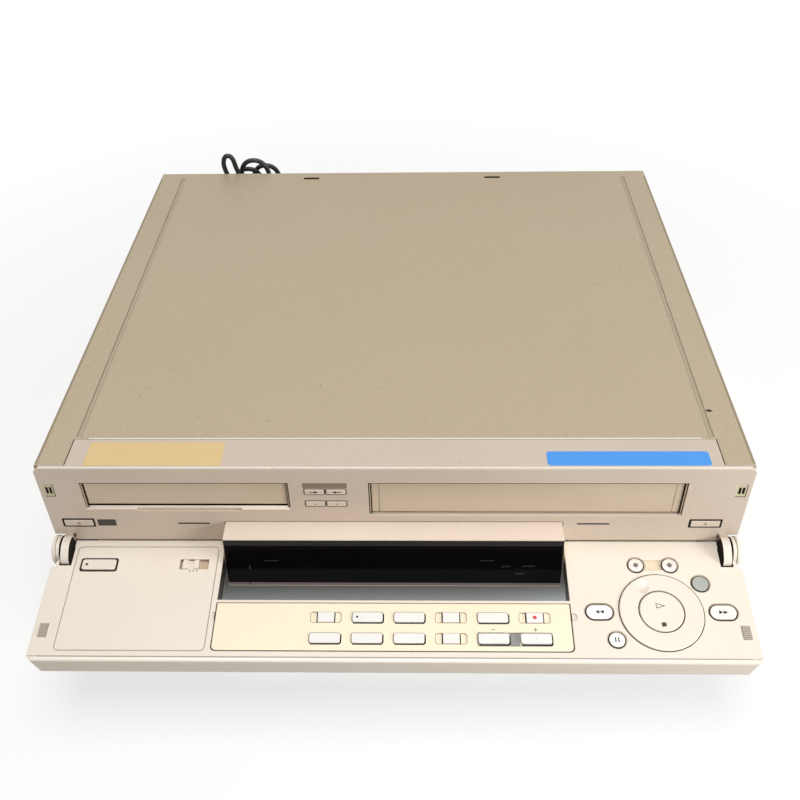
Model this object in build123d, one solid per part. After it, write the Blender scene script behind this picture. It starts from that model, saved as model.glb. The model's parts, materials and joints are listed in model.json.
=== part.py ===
from build123d import *
import os
from math import cos, hypot, pi, radians, sin, tan

# Millimetres. While a piece is built, X is to the right, Y runs back from the fascia's face and Z up from
# the surface that the deck stands on. At the end everything moves along Y, so the origin is mid-depth.

# Case
case_width = 430.0
case_depth = 378.8  # fascia face to the cover's rear edge
case_top = 146.0
foot_height = 6.0
foot_radius = 15.0
foot_inset_x = 38.0
foot_inset_y = 45.0
sheet = 1.2
seam = 0.3  # gap between neighbouring case pieces
wall = 2.4  # moulded wall
cover_edge_radius = 2.0

# Top cover
strip_depth = 25.4  # the fascia's top strip
strip_inset = 18.7
tongue_front = 2.8  # the cover's tongues beside the strip start here
groove_inset = 20.7
groove_width = 3.2
groove_depth = 0.6
groove_margin = 9.0
slot_x = 80.0
slot_length = 14.0
slot_width = 2.2
slot_margin = 9.5
flank_front = 17.0  # lower part of the cover's sides

# Fascia
fascia_drop = 63.1  # top of the case to the fascia's lower edge
ear_drop = 57.8  # the same, over the hinge ears
fascia_wall = 2.6
corner_chamfer = 3.0
edge_radius = 1.4
slot_top_drop = 12.7

# Cassette slots: left edge, width, height, door height, finger notch
dv_slot_inset = 25.1
dv_slot_width = 126.9
dv_slot_height = 22.7
dv_door_height = 18.6
vhs_slot_inset = 37.9
slots_gap = 48.4
vhs_slot_height = 27.6
vhs_door_height = 25.4
notch_inset = 31.4  # from the slot's left edge
notch_width = 64.9
notch_drop = 1.4
door_gap = 1.8
door_top_gap = 0.9
door_inset = 2.0
door_wall = 1.8
door_barrel_radius = 1.7
door_pin_radius = 1.0
door_pin_length = 3.0
pin_clearance = 0.05
lip_depth = 4.0
slot_wall = 2.0
slot_wall_depth = 9.0
seam_line = 0.5
seam_inset = 4.4

# Buttons in the fascia: centre, opening
eject_drop = 47.3
eject_left_inset = 17.5
eject_right_inset = 22.1
eject_width = 19.8
eject_height = 6.8
copy_drop = 19.6
menu_drop = 29.9
pair_inset = 22.2  # from the DV slot's right edge
pair_pitch = 13.2
pair_width = 12.4
pair_height = 4.6
fascia_button_gap = 0.35
eject_gap = 1.0
fascia_flange_lip = 0.65
fascia_button_proud = 0.6
fascia_button_depth = 9.0
fascia_travel = 1.0

# Side windows
window_inset = 5.7
window_drop = 18.7
window_width = 6.0
window_height = 10.2
window_depth = 0.8

# Display housing, which stands out of the front through the flap's cut-out
display_inset = 110.3
display_top_drop = 46.4
display_top_front = 14.3
display_top_slope = 0.6
display_bottom_drop = 84.9
display_bottom_front = 19.0
display_heel = 1.2
display_wall = 2.2
display_rim = 2.4
window_glass = 2.0
glass_top_rim = 0.6
tube_width = 150.0
tube_height = 20.0
tube_depth = 7.0

# Lower front, behind the flap
lower_front_y = 11.0
lower_front_wall = 2.4
lower_front_inset = 1.5

# Hinge of the flap
hinge_y = -5.2
hinge_drop = 66.7
ear_radius = 8.9
ear_front = 13.7  # reach to which the ears' ends are stepped in
cap_radius = 9.2
cap_wall = 2.1
cap_groove = 0.5
cap_groove_depth = 1.4
cap_edge = 0.9
arm_inset = 10.9
arm_width = 4.8
arm_radius = 8.8
arm_web_depth = 9.0
arm_web_rise = 4.0
hinge_pin_radius = 2.5
notch_inner_inset = 12.0
notch_outer_inset = 4.7
notch_reach = 12.3
flap_tilt = 10.25  # below level, as it stands open

# Flap, measured forwards from the hinge axis (reach) and up from it (rise)
flap_face_rise = 1.1
flap_thickness = 14.2
flap_reach = 75.8
flap_lip_reach = -6.0
flap_lip_wall = 2.0
flap_body_reach = -2.5
flap_skin = 2.5
flap_wall = 2.2
flap_edge_radius = 1.0
flap_low_edge = 1.0
bevel_reach = 3.1  # the front corners slant: along the end and along the front, at the top face
bevel_width = 2.8
bevel_spread = 2.8  # and how much further back they start at the floor
back_wall = 1.5
cutout_play = 2.5
cutout_reach = 35.8
rim_width = 1.6
panel_gap = 0.5
panel_end_reach = 69.1
panel_corner = 3.0
panel_drop = 0.2
panel_wall = 2.3
ledge = 2.0
ledge_wall = 1.4
outline_inset = 14.8
outline_margin = 3.4  # beside the cut-out
outline_front = 69.0
outline_back = -1.2
outline_width = 0.5
outline_depth = 0.4
outline_corner = 3.0
edge_line_reach = 72.7
pad_inset = 6.05
pad_reach = 56.2
pad_width = 5.2
pad_length = 8.8
pad_depth = 0.8
pivot_reach = 46.6
pivot_radius = 2.6
pivot_offset = 0.9

# Board in the flap
board_rise = -6.6
board_wall = 1.6
board_margin = 3.0
switch_side = 6.0
switch_play = 0.2
boss_radius = 3.2
boss_corner_inset = 20.0
boss_front_inset = 14.5
boss_rear_inset = 65.0
boss_rear_reach = 5.0
boss_middle_inset = 6.5

# Keys and buttons of the flap
key_play = 0.3
key_travel = 0.6
key_proud = 0.8
low_key_proud = 0.2
flange_lip = 0.7
flange_wall = 0.7
flange_seat = 0.1
key_columns = 6
key_last_inset = 22.1  # from the cut-out's right side
key_pitch = 25.0
key_rows = (47.1, 60.6)  # reach of the two rows
key_width = 18.2
short_key_width = 9.9
key_length = 6.4
key_corner = 1.5
short_key_corner = 0.5
short_keys = ("upper_key_1", "upper_key_4", "upper_key_6", "lower_key_4")
frame_depth = 0.6
channel_width = 44.8
channel_length = 8.8
channel_reach = 60.9

power_inset = 30.2
power_reach = 11.8
power_width = 22.0
power_length = 7.9
power_play = 0.7
switch_inset = 17.6  # from the cut-out's left side
switch_reach = 11.3
switch_width = 17.6
switch_length = 6.8
switch_depth = 1.9
switch_floor = 0.9
knob_width = 9.9
knob_start = -2.15  # from the middle of its recess
knob_step = 2.3
knob_play = 0.3
knob_stem = 2.6
select_offsets = (-10.9, 9.9)  # from the ring's middle
select_reach = 11.1
select_radius = 4.5
bridge_length = 7.0
light_offset = 26.6
light_reach = 23.8
light_radius = 4.9
dish_margin = 1.1
dish_depth = 0.8
wind_offsets = (-37.0, 36.8)
wind_reach = 43.0
wind_width = 15.6
wind_length = 9.2
pause_offset = -28.7
pause_reach = 60.9
pause_radius = 4.6

# Shuttle ring with the play and stop disc inside it
ring_inset = 53.9
ring_reach = 43.0
ring_radius = 25.0
ring_play = 0.3
ring_inner = 13.5
disc_radius = 13.1
ring_proud = 0.9
disc_proud = 1.2
hub_radius = 11.6
hub_bore = 8.0
hub_play = 0.08
cup_wall = 1.6
cup_rise = -5.6
ring_foot_rise = -3.9
ring_step_rise = -1.4
hub_top_rise = -1.6
disc_under_rise = -0.9
stem_radius = 2.2
stem_play = 0.2
dimple_radius = 4.7
dimple_depth = 0.8
dimple_sphere = 14.0
dimple_x = -9.6
dimple_y = 16.7

# Cassette cages and deck plates
cage_front = 32.0
cage_wall = 1.2
cage_rail = 8.0
vhs_cage_depth = 112.0
dv_cage_depth = 84.0
plate_wall = 2.0
plate_margin = 6.0
vhs_plate_z = 60.0
dv_plate_z = 78.0
leg_side = 8.0
vhs_drum_radius = 31.0
vhs_drum_height = 20.0
vhs_drum_tilt = 5.0
vhs_drum_back = 46.0
dv_drum_radius = 10.85
dv_drum_height = 8.0
dv_drum_tilt = 9.0
dv_drum_back = 20.0
drum_gap = 0.3
drum_shaft = 3.0
shaft_clearance = 0.05

# Chassis, boards and supply
chassis_wall = 1.2
chassis_flange = 12.0
chassis_y = 14.5
board_z = 18.0
pcb = 1.6
post_radius = 4.0
board_inset = 19.0
board_gap = 8.0
board_front_gap = 11.0  # behind the VHS deck
board_rear_gap = 16.2
post_inset = 8.0
supply_width = 84.0
# Components: their middle as shares of the board's width and depth, then width, length and height
board_blocks = (
    (0.14, 0.34, 26.0, 26.0, 3.0),
    (0.35, 0.51, 30.0, 30.0, 3.0),
    (0.54, 0.32, 22.0, 22.0, 4.0),
    (0.75, 0.64, 40.0, 24.0, 12.0),
    (0.23, 0.76, 60.0, 14.0, 9.0),
    (0.46, 0.82, 18.0, 18.0, 14.0),
    (0.88, 0.31, 14.0, 40.0, 16.0),
)
supply_blocks = (
    (0.38, 0.61, 40.0, 36.0, 34.0),
    (0.74, 0.47, 4.0, 80.0, 40.0),
)
capacitor_places = ((0.29, 0.13), (0.29, 0.30))
capacitor_radius = 9.0
capacitor_height = 32.0
panel_recess = 2.6

# Jacks: rows and columns of coaxial jacks, round sockets, aerial sockets
jack_x = -88.0
jack_pitch_x = 17.0
jack_pitch_z = 19.0
jack_columns = 5
jack_rows = 3
jack_z = 42.0
jack_radius = 4.2
jack_bore = 2.0
jack_reach = 8.0
jack_block_depth = 14.0
socket_x = 22.0
socket_radius = 5.6
socket_reach = 3.0
aerial_inset = 47.0
aerial_z = (58.0, 92.0)
aerial_radius = 4.8
aerial_bore = 1.6
aerial_reach = 10.0
hole_clearance = 0.2

# Screws
screw_head_radius = 3.4
screw_head = 1.4
screw_shank_radius = 1.5
screw_length = 6.0
flank_screw_y = (70.0, 330.0)
flank_screw_z = 30.0
rear_screw_inset = 27.0
rear_screw_middle = 60.0
rear_screw_drop = 8.0

# Mains lead
lead_d = 4.2
gland_inset = 25.0
gland_z = 30.0
gland_flange_radius = 8.0
gland_flange = 2.4
gland_neck_radius = 5.4
gland_tip_radius = 3.2
gland_length = 25.0
loop_pitch = 5.2
lean_gap = 1.0
lean = 9.0  # degrees from upright
waist_rise = 76.0
waist_half = 3.4
waist_length = 22.0
bundle_offset = 52.0  # from the gland
shoulder_drop = 0.8  # of a loop's width
foot_corner_lift = 0.9
tie_height = 8.0
tie_wall = 1.4
tie_play = 0.5
plug_length = 30.0
plug_width = 24.0
plug_thickness = 13.0
plug_neck_radius = 3.4
plug_neck_length = 12.0
blade_length = 17.0
blade_width = 6.3
blade_wall = 1.5
blade_gap = 12.7

# The tied hank, from its tie: each loop's left and right edge at the top, and its top above the case
hank_tops = (
    (1.0, 25.0, -4.0),
    (-15.0, 10.0, -4.0),
    (-7.4, 17.2, 8.6),
    (-21.0, -11.4, 17.0),
)
# and its left and right edge at the foot
hank_feet = (
    (-15.0, 17.0),
    (-17.0, 15.4),
    (-14.4, 17.8),
    (-18.0, 14.6),
)
# The innermost loop is longer: two points on each leg, as X, height and part of a layer's shift
long_loop_left = ((-11.4, 122.0), (-22.0, 148.4))
long_loop_right = ((-10.6, 148.4, 0.0), (-1.6, 122.0, 0.2))


# Working places across the deck
half_width = case_width / 2
strip_width = case_width - 2 * strip_inset
groove_x = half_width - groove_inset
dv_slot_x = -half_width + dv_slot_inset
vhs_slot_x = dv_slot_x + dv_slot_width + slots_gap
vhs_slot_width = half_width - vhs_slot_inset - vhs_slot_x
notch_x = dv_slot_x + notch_inset
eject_left_x = -half_width + eject_left_inset
eject_right_x = half_width - eject_right_inset
pair_x = dv_slot_x + dv_slot_width + pair_inset
window_x = half_width - window_inset
display_width = case_width - 2 * display_inset
arm_inner_x = half_width - arm_inset
notch_inner_x = half_width - notch_inner_inset
notch_outer_x = half_width - notch_outer_inset
cap_inner_x = half_width - cap_wall
ear_outer_x = cap_inner_x - cap_groove
cutout_half = display_width / 2 + cutout_play
outline_left = -half_width + outline_inset
outline_right = -cutout_half - outline_margin
pad_x = half_width - pad_inset
key_first_x = cutout_half - key_last_inset - (key_columns - 1) * key_pitch
channel_x = key_first_x + 4.5 * key_pitch
power_x = -half_width + power_inset
switch_x = -cutout_half - switch_inset
knob_start_x = switch_x + knob_start
ring_x = half_width - ring_inset
select_x = [ring_x + offset for offset in select_offsets]
light_x = ring_x + light_offset
wind_x = [ring_x + offset for offset in wind_offsets]
pause_x = ring_x + pause_offset
main_board_x = -half_width + board_inset
supply_x = half_width - board_inset - supply_width
main_board_width = supply_x - board_gap - main_board_x
aerial_x = half_width - aerial_inset
rear_screw_x = (rear_screw_inset - half_width, -rear_screw_middle, rear_screw_middle, half_width - rear_screw_inset)
gland_x = -half_width + gland_inset
bundle_x = gland_x + bundle_offset

# and the others
slot_top = case_top - slot_top_drop
fascia_bottom = case_top - fascia_drop
ear_bottom = case_top - ear_drop
hinge_z = case_top - hinge_drop
flap_floor = flap_face_rise - flap_thickness
rear_plane = case_depth - panel_recess
main_board_y = cage_front + vhs_cage_depth + vhs_drum_back + vhs_drum_radius + board_front_gap
main_board_depth = rear_plane - board_rear_gap - main_board_y
rear_reach = rear_plane + aerial_reach
case_bottom = foot_height
chassis_top = case_bottom + chassis_wall
end_wall_back = chassis_y + 10
lead_floor = lead_d / 2 + 0.05


def block(x0, x1, y0, y1, z0, z1):
    """A box between six planes."""
    return Pos((x0 + x1) / 2, (y0 + y1) / 2, (z0 + z1) / 2) * Box(abs(x1 - x0), abs(y1 - y0), abs(z1 - z0))


def tablet(x, y, width, length, corner, z0, z1):
    """A rounded rectangle in plan, between two heights."""
    outline = Pos(x, y, z0) * RectangleRounded(width, length, corner)
    return extrude(outline, z1 - z0)


def rod(x, y, radius, z0, z1):
    """An upright cylinder between two heights."""
    return Pos(x, y, (z0 + z1) / 2) * Cylinder(radius, z1 - z0)


def cross_rod(x0, x1, y, z, radius):
    """A cylinder along X."""
    return Pos((x0 + x1) / 2, y, z) * Rot(0, 90, 0) * Cylinder(radius, abs(x1 - x0))


def back_rod(x, z, radius, y0, y1):
    """A cylinder along Y."""
    return Pos(x, (y0 + y1) / 2, z) * Rot(90, 0, 0) * Cylinder(radius, abs(y1 - y0))


def prism(points, x0, x1):
    """A Y-Z outline drawn out along X."""
    face = make_face(Polyline([(x0, y, z) for y, z in points], close=True))
    return extrude(face, x1 - x0, dir=(1, 0, 0))


def joined(first, others):
    """One solid from several that touch or overlap."""
    result = first
    for other in others:
        result = result + other
    return result


def on_flap(shape):
    """From the flap's own frame (X, minus reach, rise) to its open place."""
    return Pos(0, hinge_y, hinge_z) * Rot(flap_tilt, 0, 0) * shape


# Front-most point of the open flap: its rounded upper edge
tilt = radians(flap_tilt)
edge_reach = flap_reach - flap_edge_radius
edge_rise = flap_face_rise - flap_edge_radius
flap_front = -(hinge_y - edge_reach * cos(tilt) - edge_rise * sin(tilt) - flap_edge_radius)
origin_y = (rear_reach - flap_front) / 2


def make_top_cover():
    rear = case_depth
    roof_front = strip_depth + seam
    roof = block(-half_width, half_width, roof_front, rear, case_top - sheet, case_top)
    pieces = []
    for side in (-1, 1):
        inner = strip_width / 2 + seam
        pieces.append(block(side * inner, side * half_width, tongue_front, rear, case_top - sheet, case_top))
        flank = side * (half_width - sheet)
        pieces.append(block(flank, side * half_width, tongue_front, rear, ear_bottom, case_top))
        pieces.append(block(flank, side * half_width, flank_front, rear, case_bottom + 2, ear_bottom + 5))
    cover = joined(roof, pieces)
    edges = cover.edges().filter_by(Axis.Y).filter_by(
        lambda e: abs(abs(e.center().X) - half_width) < 0.01 and abs(e.center().Z - case_top) < 0.01
    )
    cover = fillet(edges, cover_edge_radius - 0.9)
    for side in (-1, 1):
        cover -= block(
            side * (groove_x - groove_width / 2), side * (groove_x + groove_width / 2),
            roof_front + 2, rear - groove_margin, case_top - groove_depth, case_top + 1,
        )
        cover -= block(
            side * slot_x - slot_length / 2, side * slot_x + slot_length / 2,
            rear - slot_margin - slot_width, rear - slot_margin, case_top - 2, case_top + 1,
        )
        for y in flank_screw_y:
            cover -= cross_rod(side * (half_width - 3), side * (half_width + 1), y, flank_screw_z,
                               screw_shank_radius + hole_clearance)
    return cover


def make_bottom_chassis():
    side = half_width - sheet - seam
    rear = rear_plane - chassis_wall - seam
    chassis = block(-side, side, chassis_y, rear, case_bottom, chassis_top)
    flange_top = flank_screw_z + chassis_flange
    pieces = []
    for s in (-1, 1):
        pieces.append(block(s * (side - chassis_wall), s * side, end_wall_back + seam, rear, case_bottom, flange_top))
    for left, width in ((main_board_x, main_board_width), (supply_x, supply_width)):
        for x in (left + post_inset, left + width - post_inset):
            for y in (main_board_y + post_inset, main_board_y + main_board_depth - post_inset):
                pieces.append(rod(x, y, post_radius, case_bottom, board_z))
    chassis = joined(chassis, pieces)
    for s in (-1, 1):
        for y in flank_screw_y:
            chassis -= cross_rod(s * (side - 3), s * (side + 1), y, flank_screw_z, screw_shank_radius)
    return chassis


def make_feet():
    places = []
    for x in (-half_width + foot_inset_x, half_width - foot_inset_x):
        for y in (foot_inset_y, case_depth - foot_inset_y):
            foot = Pos(x, y, foot_height / 2) * Cone(foot_radius - 2, foot_radius, foot_height)
            places.append(foot)
    return Compound(places)


def slot_openings():
    """Left edge, width, height and door height of the two cassette slots."""
    return (
        (dv_slot_x, dv_slot_width, dv_slot_height, dv_door_height),
        (vhs_slot_x, vhs_slot_width, vhs_slot_height, vhs_door_height),
    )


def door_axis():
    """Y and Z of both doors' hinge axis."""
    return door_inset + door_wall + door_barrel_radius - 0.6, slot_top - door_top_gap - door_barrel_radius


def fascia_buttons():
    """Name, X, Z, width and height of each opening for a button in the fascia, and the gap round the button."""
    left, right = pair_x - pair_pitch / 2, pair_x + pair_pitch / 2
    return (
        ("dv_eject_button", eject_left_x, case_top - eject_drop, eject_width, eject_height, eject_gap),
        ("vhs_eject_button", eject_right_x, case_top - eject_drop, eject_width, eject_height, eject_gap),
        ("copy_right_button", left, case_top - copy_drop, pair_width, pair_height, fascia_button_gap),
        ("copy_left_button", right, case_top - copy_drop, pair_width, pair_height, fascia_button_gap),
        ("menu_left_button", left, case_top - menu_drop, pair_width, pair_height, fascia_button_gap),
        ("menu_right_button", right, case_top - menu_drop, pair_width, pair_height, fascia_button_gap),
    )


def make_front_fascia():
    face = block(-half_width, half_width, 0, fascia_wall, fascia_bottom, case_top)
    strip = block(-strip_width / 2, strip_width / 2, 0, strip_depth, case_top - wall, case_top)
    fascia = face + strip
    for s in (-1, 1):
        fascia -= block(s * notch_inner_x, s * (half_width + 1), -1, fascia_wall + 1, fascia_bottom - 1, ear_bottom)
    corners = fascia.edges().filter_by(Axis.Y).filter_by(
        lambda e: abs(abs(e.center().X) - half_width) < 0.01 and abs(e.center().Z - case_top) < 0.01
    )
    fascia = chamfer(corners, corner_chamfer)
    top_edge = fascia.edges().filter_by(Axis.X).filter_by(
        lambda e: abs(e.center().Y) < 0.01 and abs(e.center().Z - case_top) < 0.01
    )
    fascia = fillet(top_edge, edge_radius)
    under = fascia.edges().filter_by(Axis.X).filter_by(
        lambda e: abs(e.center().Y) < 0.01 and abs(e.center().Z - fascia_bottom) < 0.01
    )
    fascia = fillet(under, edge_radius / 2)

    axis_y, axis_z = door_axis()
    for x, width, height, door_height in slot_openings():
        bottom = slot_top - height
        for side_x in (x - slot_wall, x + width):
            cheek = block(side_x, side_x + slot_wall, 0.5, slot_wall_depth, bottom - slot_wall, slot_top + slot_wall)
            fascia += cheek
        fascia += block(x - slot_wall, x + width + slot_wall, 0.5, slot_wall_depth, bottom - slot_wall, bottom)
        fascia -= block(x, x + width, -1, fascia_wall + 1, bottom, slot_top)
        door_bottom = slot_top - door_top_gap - door_height
        lip_rise = door_bottom - bottom - 0.8
        lip = prism([(0.02, bottom - 0.5), (lip_depth, bottom - 0.5), (lip_depth, bottom + lip_rise),
                     (0.02, bottom + 0.02)], x, x + width)
        fascia += lip
        bore = door_pin_radius + pin_clearance
        fascia -= cross_rod(x - slot_wall - 1, x + width + slot_wall + 1, axis_y, axis_z, bore)
    fascia -= block(notch_x, notch_x + notch_width, -1, 1.0, slot_top - dv_slot_height - notch_drop,
                    slot_top - dv_slot_height + 1)

    for _, x, z, width, height, _ in fascia_buttons():
        fascia -= block(x - width / 2, x + width / 2, -1, fascia_wall + 1, z - height / 2, z + height / 2)
    for s in (-1, 1):
        x, z = s * window_x, case_top - window_drop
        fascia -= block(x - window_width / 2, x + window_width / 2, -1, window_depth,
                        z - window_height / 2, z + window_height / 2)

    for s in (-1, 1):
        inner, outer = s * arm_inner_x, s * (arm_inner_x + arm_width)
        fascia += cross_rod(inner, outer, hinge_y, hinge_z, arm_radius)
        fascia += block(inner, outer, 0, fascia_wall, hinge_z, ear_bottom + 0.5)
        fascia += block(inner, outer, fascia_wall - 0.5, arm_web_depth, hinge_z - 4, ear_bottom + arm_web_rise)
        fascia += block(inner, outer, hinge_y, fascia_wall, hinge_z - 4, hinge_z + 4)
        fascia -= cross_rod(s * (arm_inner_x - 1), s * (arm_inner_x + arm_width + 1), hinge_y, hinge_z,
                            hinge_pin_radius)
    return fascia


def make_side_windows():
    plates = []
    for s in (-1, 1):
        x, z = s * window_x, case_top - window_drop
        plate = block(x - window_width / 2 + 0.1, x + window_width / 2 - 0.1, 0.1, window_depth,
                      z - window_height / 2 + 0.1, z + window_height / 2 - 0.1)
        for offset in (-1, 1):
            plate -= block(x + offset * 1.1 - 0.5, x + offset * 1.1 + 0.5, 0, 0.5, z - 2.4, z + 2.4)
        plates.append(plate)
    return Compound(plates)


def make_door(x, width, door_height, seams):
    """A door flap with a barrel and two pins along its top edge."""
    axis_y, axis_z = door_axis()
    left, right = x + door_gap, x + width - door_gap
    top = slot_top - door_top_gap
    door = block(left, right, door_inset, door_inset + door_wall, top - door_height, top)
    door += cross_rod(left, right, axis_y, axis_z, door_barrel_radius)
    door += cross_rod(x - slot_wall + 0.4, x + width + slot_wall - 0.4, axis_y, axis_z, door_pin_radius)
    if seams:
        for line in (left + seam_inset, right - seam_inset):
            door -= block(line - seam_line / 2, line + seam_line / 2, door_inset - 1, door_inset + 0.4,
                          top - door_height - 1, top + 1)
    return door


def make_fascia_button(x, z, width, height, gap):
    """A button cap with a longer shank and a flange behind the fascia."""
    w, h = width / 2 - gap, height / 2 - gap
    cap = block(x - w, x + w, -fascia_button_proud, fascia_button_depth, z - h, z + h)
    rim = [e for e in cap.edges() if abs(e.center().Y + fascia_button_proud) < 0.01]
    cap = fillet(rim, 0.4)
    back = fascia_wall + flange_seat
    flange_w, flange_h = max(w, width / 2 - 0.1), height / 2 + fascia_flange_lip
    cap += block(x - flange_w, x + flange_w, back, back + flange_wall, z - flange_h, z + flange_h)
    return cap


def display_profile(inset):
    """Y-Z outline of the display housing, or of its hollow."""
    top = case_top - display_top_drop
    bottom = case_top - display_bottom_drop
    return [
        (0.0, top - inset),
        (-display_top_front + inset, top - display_top_slope - inset),
        (-display_bottom_front + inset, bottom + inset),
        (-display_bottom_front + 2 + inset, bottom - display_heel + inset),
        (lower_front_y, bottom - display_heel + inset),
        (lower_front_y, fascia_bottom - seam - inset),
        (0.0, fascia_bottom - seam - inset),
    ]


def glass_profile(margin):
    """Y-Z outline of the window in the housing's sloping front."""
    top_z = case_top - display_top_drop - display_top_slope - glass_top_rim - margin
    bottom_z = case_top - display_bottom_drop + display_rim + margin
    slope = (display_bottom_front - display_top_front) / (display_bottom_drop - display_top_drop - display_top_slope)
    top_y = -display_top_front - slope * (case_top - display_top_drop - display_top_slope - top_z)
    bottom_y = -display_top_front - slope * (case_top - display_top_drop - display_top_slope - bottom_z)
    return [(top_y, top_z), (top_y + window_glass, top_z), (bottom_y + window_glass, bottom_z), (bottom_y, bottom_z)]


def make_display_housing():
    half = display_width / 2
    housing = prism(display_profile(0), -half, half)
    rear = lower_front_y
    top = case_top - display_top_drop
    bottom = case_top - display_bottom_drop - display_heel
    hollow = prism([
        (-1.5, top - display_wall),
        (-display_top_front + 1.5, top - display_wall),
        (-display_bottom_front + 2.6, bottom + display_wall),
        (rear - display_wall, bottom + display_wall),
        (rear - display_wall, fascia_bottom - seam - display_wall),
        (-1.5, fascia_bottom - seam - display_wall),
    ], -half + display_wall, half - display_wall)
    housing -= hollow
    opening = [(y + (1.0 if i in (1, 2) else -1.0), z) for i, (y, z) in enumerate(glass_profile(0))]
    housing -= prism(opening, -half - 1, half + 1)
    return housing


def make_display_window():
    half = display_width / 2
    glass = prism(glass_profile(0.1), -half, half)
    front = [e for e in glass.edges().filter_by(Axis.X) if e.center().Y < -display_top_front - 0.05
             and e.center().Z > hinge_z]
    return fillet(front, 0.8)


def make_display_tube():
    middle = case_top - (display_top_drop + display_bottom_drop) / 2
    front = -display_bottom_front + 2 * window_glass + 2.0
    tube = block(-tube_width / 2, tube_width / 2, front, front + tube_depth,
                 middle - tube_height / 2, middle + tube_height / 2)
    stalk = block(-tube_width / 2 + 10, tube_width / 2 - 10, front + tube_depth - 1, lower_front_y - display_wall,
                  middle - 8, middle - 4)
    return tube + stalk


def make_lower_front():
    side = half_width - sheet - seam
    panel = block(-side, side, lower_front_y, lower_front_y + lower_front_wall, case_bottom, fascia_bottom - seam)
    ends = [block(s * (side - wall), s * side, lower_front_y, end_wall_back, chassis_top + seam, fascia_bottom - seam)
            for s in (-1, 1)]
    return joined(panel, ends)


def make_hinge_pins():
    pins = [cross_rod(s * (arm_inner_x + 0.2), s * (cap_inner_x + 0.4), hinge_y, hinge_z, hinge_pin_radius)
            for s in (-1, 1)]
    return Compound(pins)


def corner_bevels(inward):
    """What the flap's slanting front corners cut off, moved inwards for its hollow."""
    slope = bevel_width / bevel_reach
    lean_back = bevel_spread / flap_thickness
    start = flap_reach - bevel_reach + lean_back - inward * hypot(1, slope) / slope
    drop = flap_thickness + 3
    wedges = []
    for s in (-1, 1):
        outline = [(s * (half_width + 2), 2 / slope - start), (s * (half_width + 2), -start - 12),
                   (s * (half_width - 12 * slope), -start - 12)]
        face = make_face(Polyline([(x, y, flap_face_rise + 1) for x, y in outline], close=True))
        wedges.append(extrude(face, drop * hypot(1, lean_back), dir=(0, lean_back, -1)))
    return wedges


def flap_inner(margin, z0, z1):
    """The space inside the flap's shell, all round smaller by the margin."""
    m = margin
    end = half_width - flap_wall - m
    space = block(-end, end, -flap_reach + flap_wall + m, -flap_body_reach - flap_wall - m, z0, z1)
    half = cutout_half + flap_wall + m
    front = cutout_reach + rim_width + m
    space -= block(-half, half, -front, 20, z0 - 1, z1 + 1)
    corner = notch_inner_x - flap_wall - m
    reach = notch_reach + flap_wall + m
    for s in (-1, 1):
        space -= block(s * corner, s * (half_width + 1), -reach, 20, z0 - 1, z1 + 1)
        space -= block(s * (ear_outer_x - flap_wall - m), s * (half_width + 1), -ear_front - flap_wall - m, 20,
                       z0 - 1, z1 + 1)
    for wedge in corner_bevels(flap_wall + m):
        space -= wedge
    return space


def round_controls():
    """X, reach and radius of the round buttons on the flap, with their names."""
    return (
        ("dv_select_button", select_x[0], select_reach, select_radius),
        ("vhs_select_button", select_x[1], select_reach, select_radius),
        ("jog_mode_button", light_x, light_reach, light_radius),
        ("pause_button", pause_x, pause_reach, pause_radius),
    )


def long_controls():
    """Name, X, reach, width, length, corner and gap of the rounded bars on the flap."""
    return (
        ("power_button", power_x, power_reach, power_width, power_length, key_corner, power_play),
        ("rewind_button", wind_x[0], wind_reach, wind_width, wind_length, wind_length / 2 - 0.01, key_play),
        ("forward_button", wind_x[1], wind_reach, wind_width, wind_length, wind_length / 2 - 0.01, key_play),
    )


def panel_keys():
    """Name, X, reach, width and corner of each key on the gold panel."""
    keys = []
    for row, reach in enumerate(key_rows):
        for column in range(key_columns):
            name = f"{('upper', 'lower')[row]}_key_{column + 1}"
            short = name in short_keys
            width, corner = (short_key_width, short_key_corner) if short else (key_width, key_corner)
            keys.append((name, key_first_x + column * key_pitch, reach, width, corner))
    return keys


def panel_outline(gap, z0, z1):
    """The gold panel's outline, square at the rear and rounded at its front corners."""
    back, half = cutout_reach + rim_width + gap, cutout_half - gap
    front = panel_end_reach - gap
    outline = tablet(0, -(back + front) / 2, 2 * half, front - back, panel_corner, z0, z1)
    return outline + block(-half, half, -(back + front) / 2, -back, z0, z1)


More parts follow.
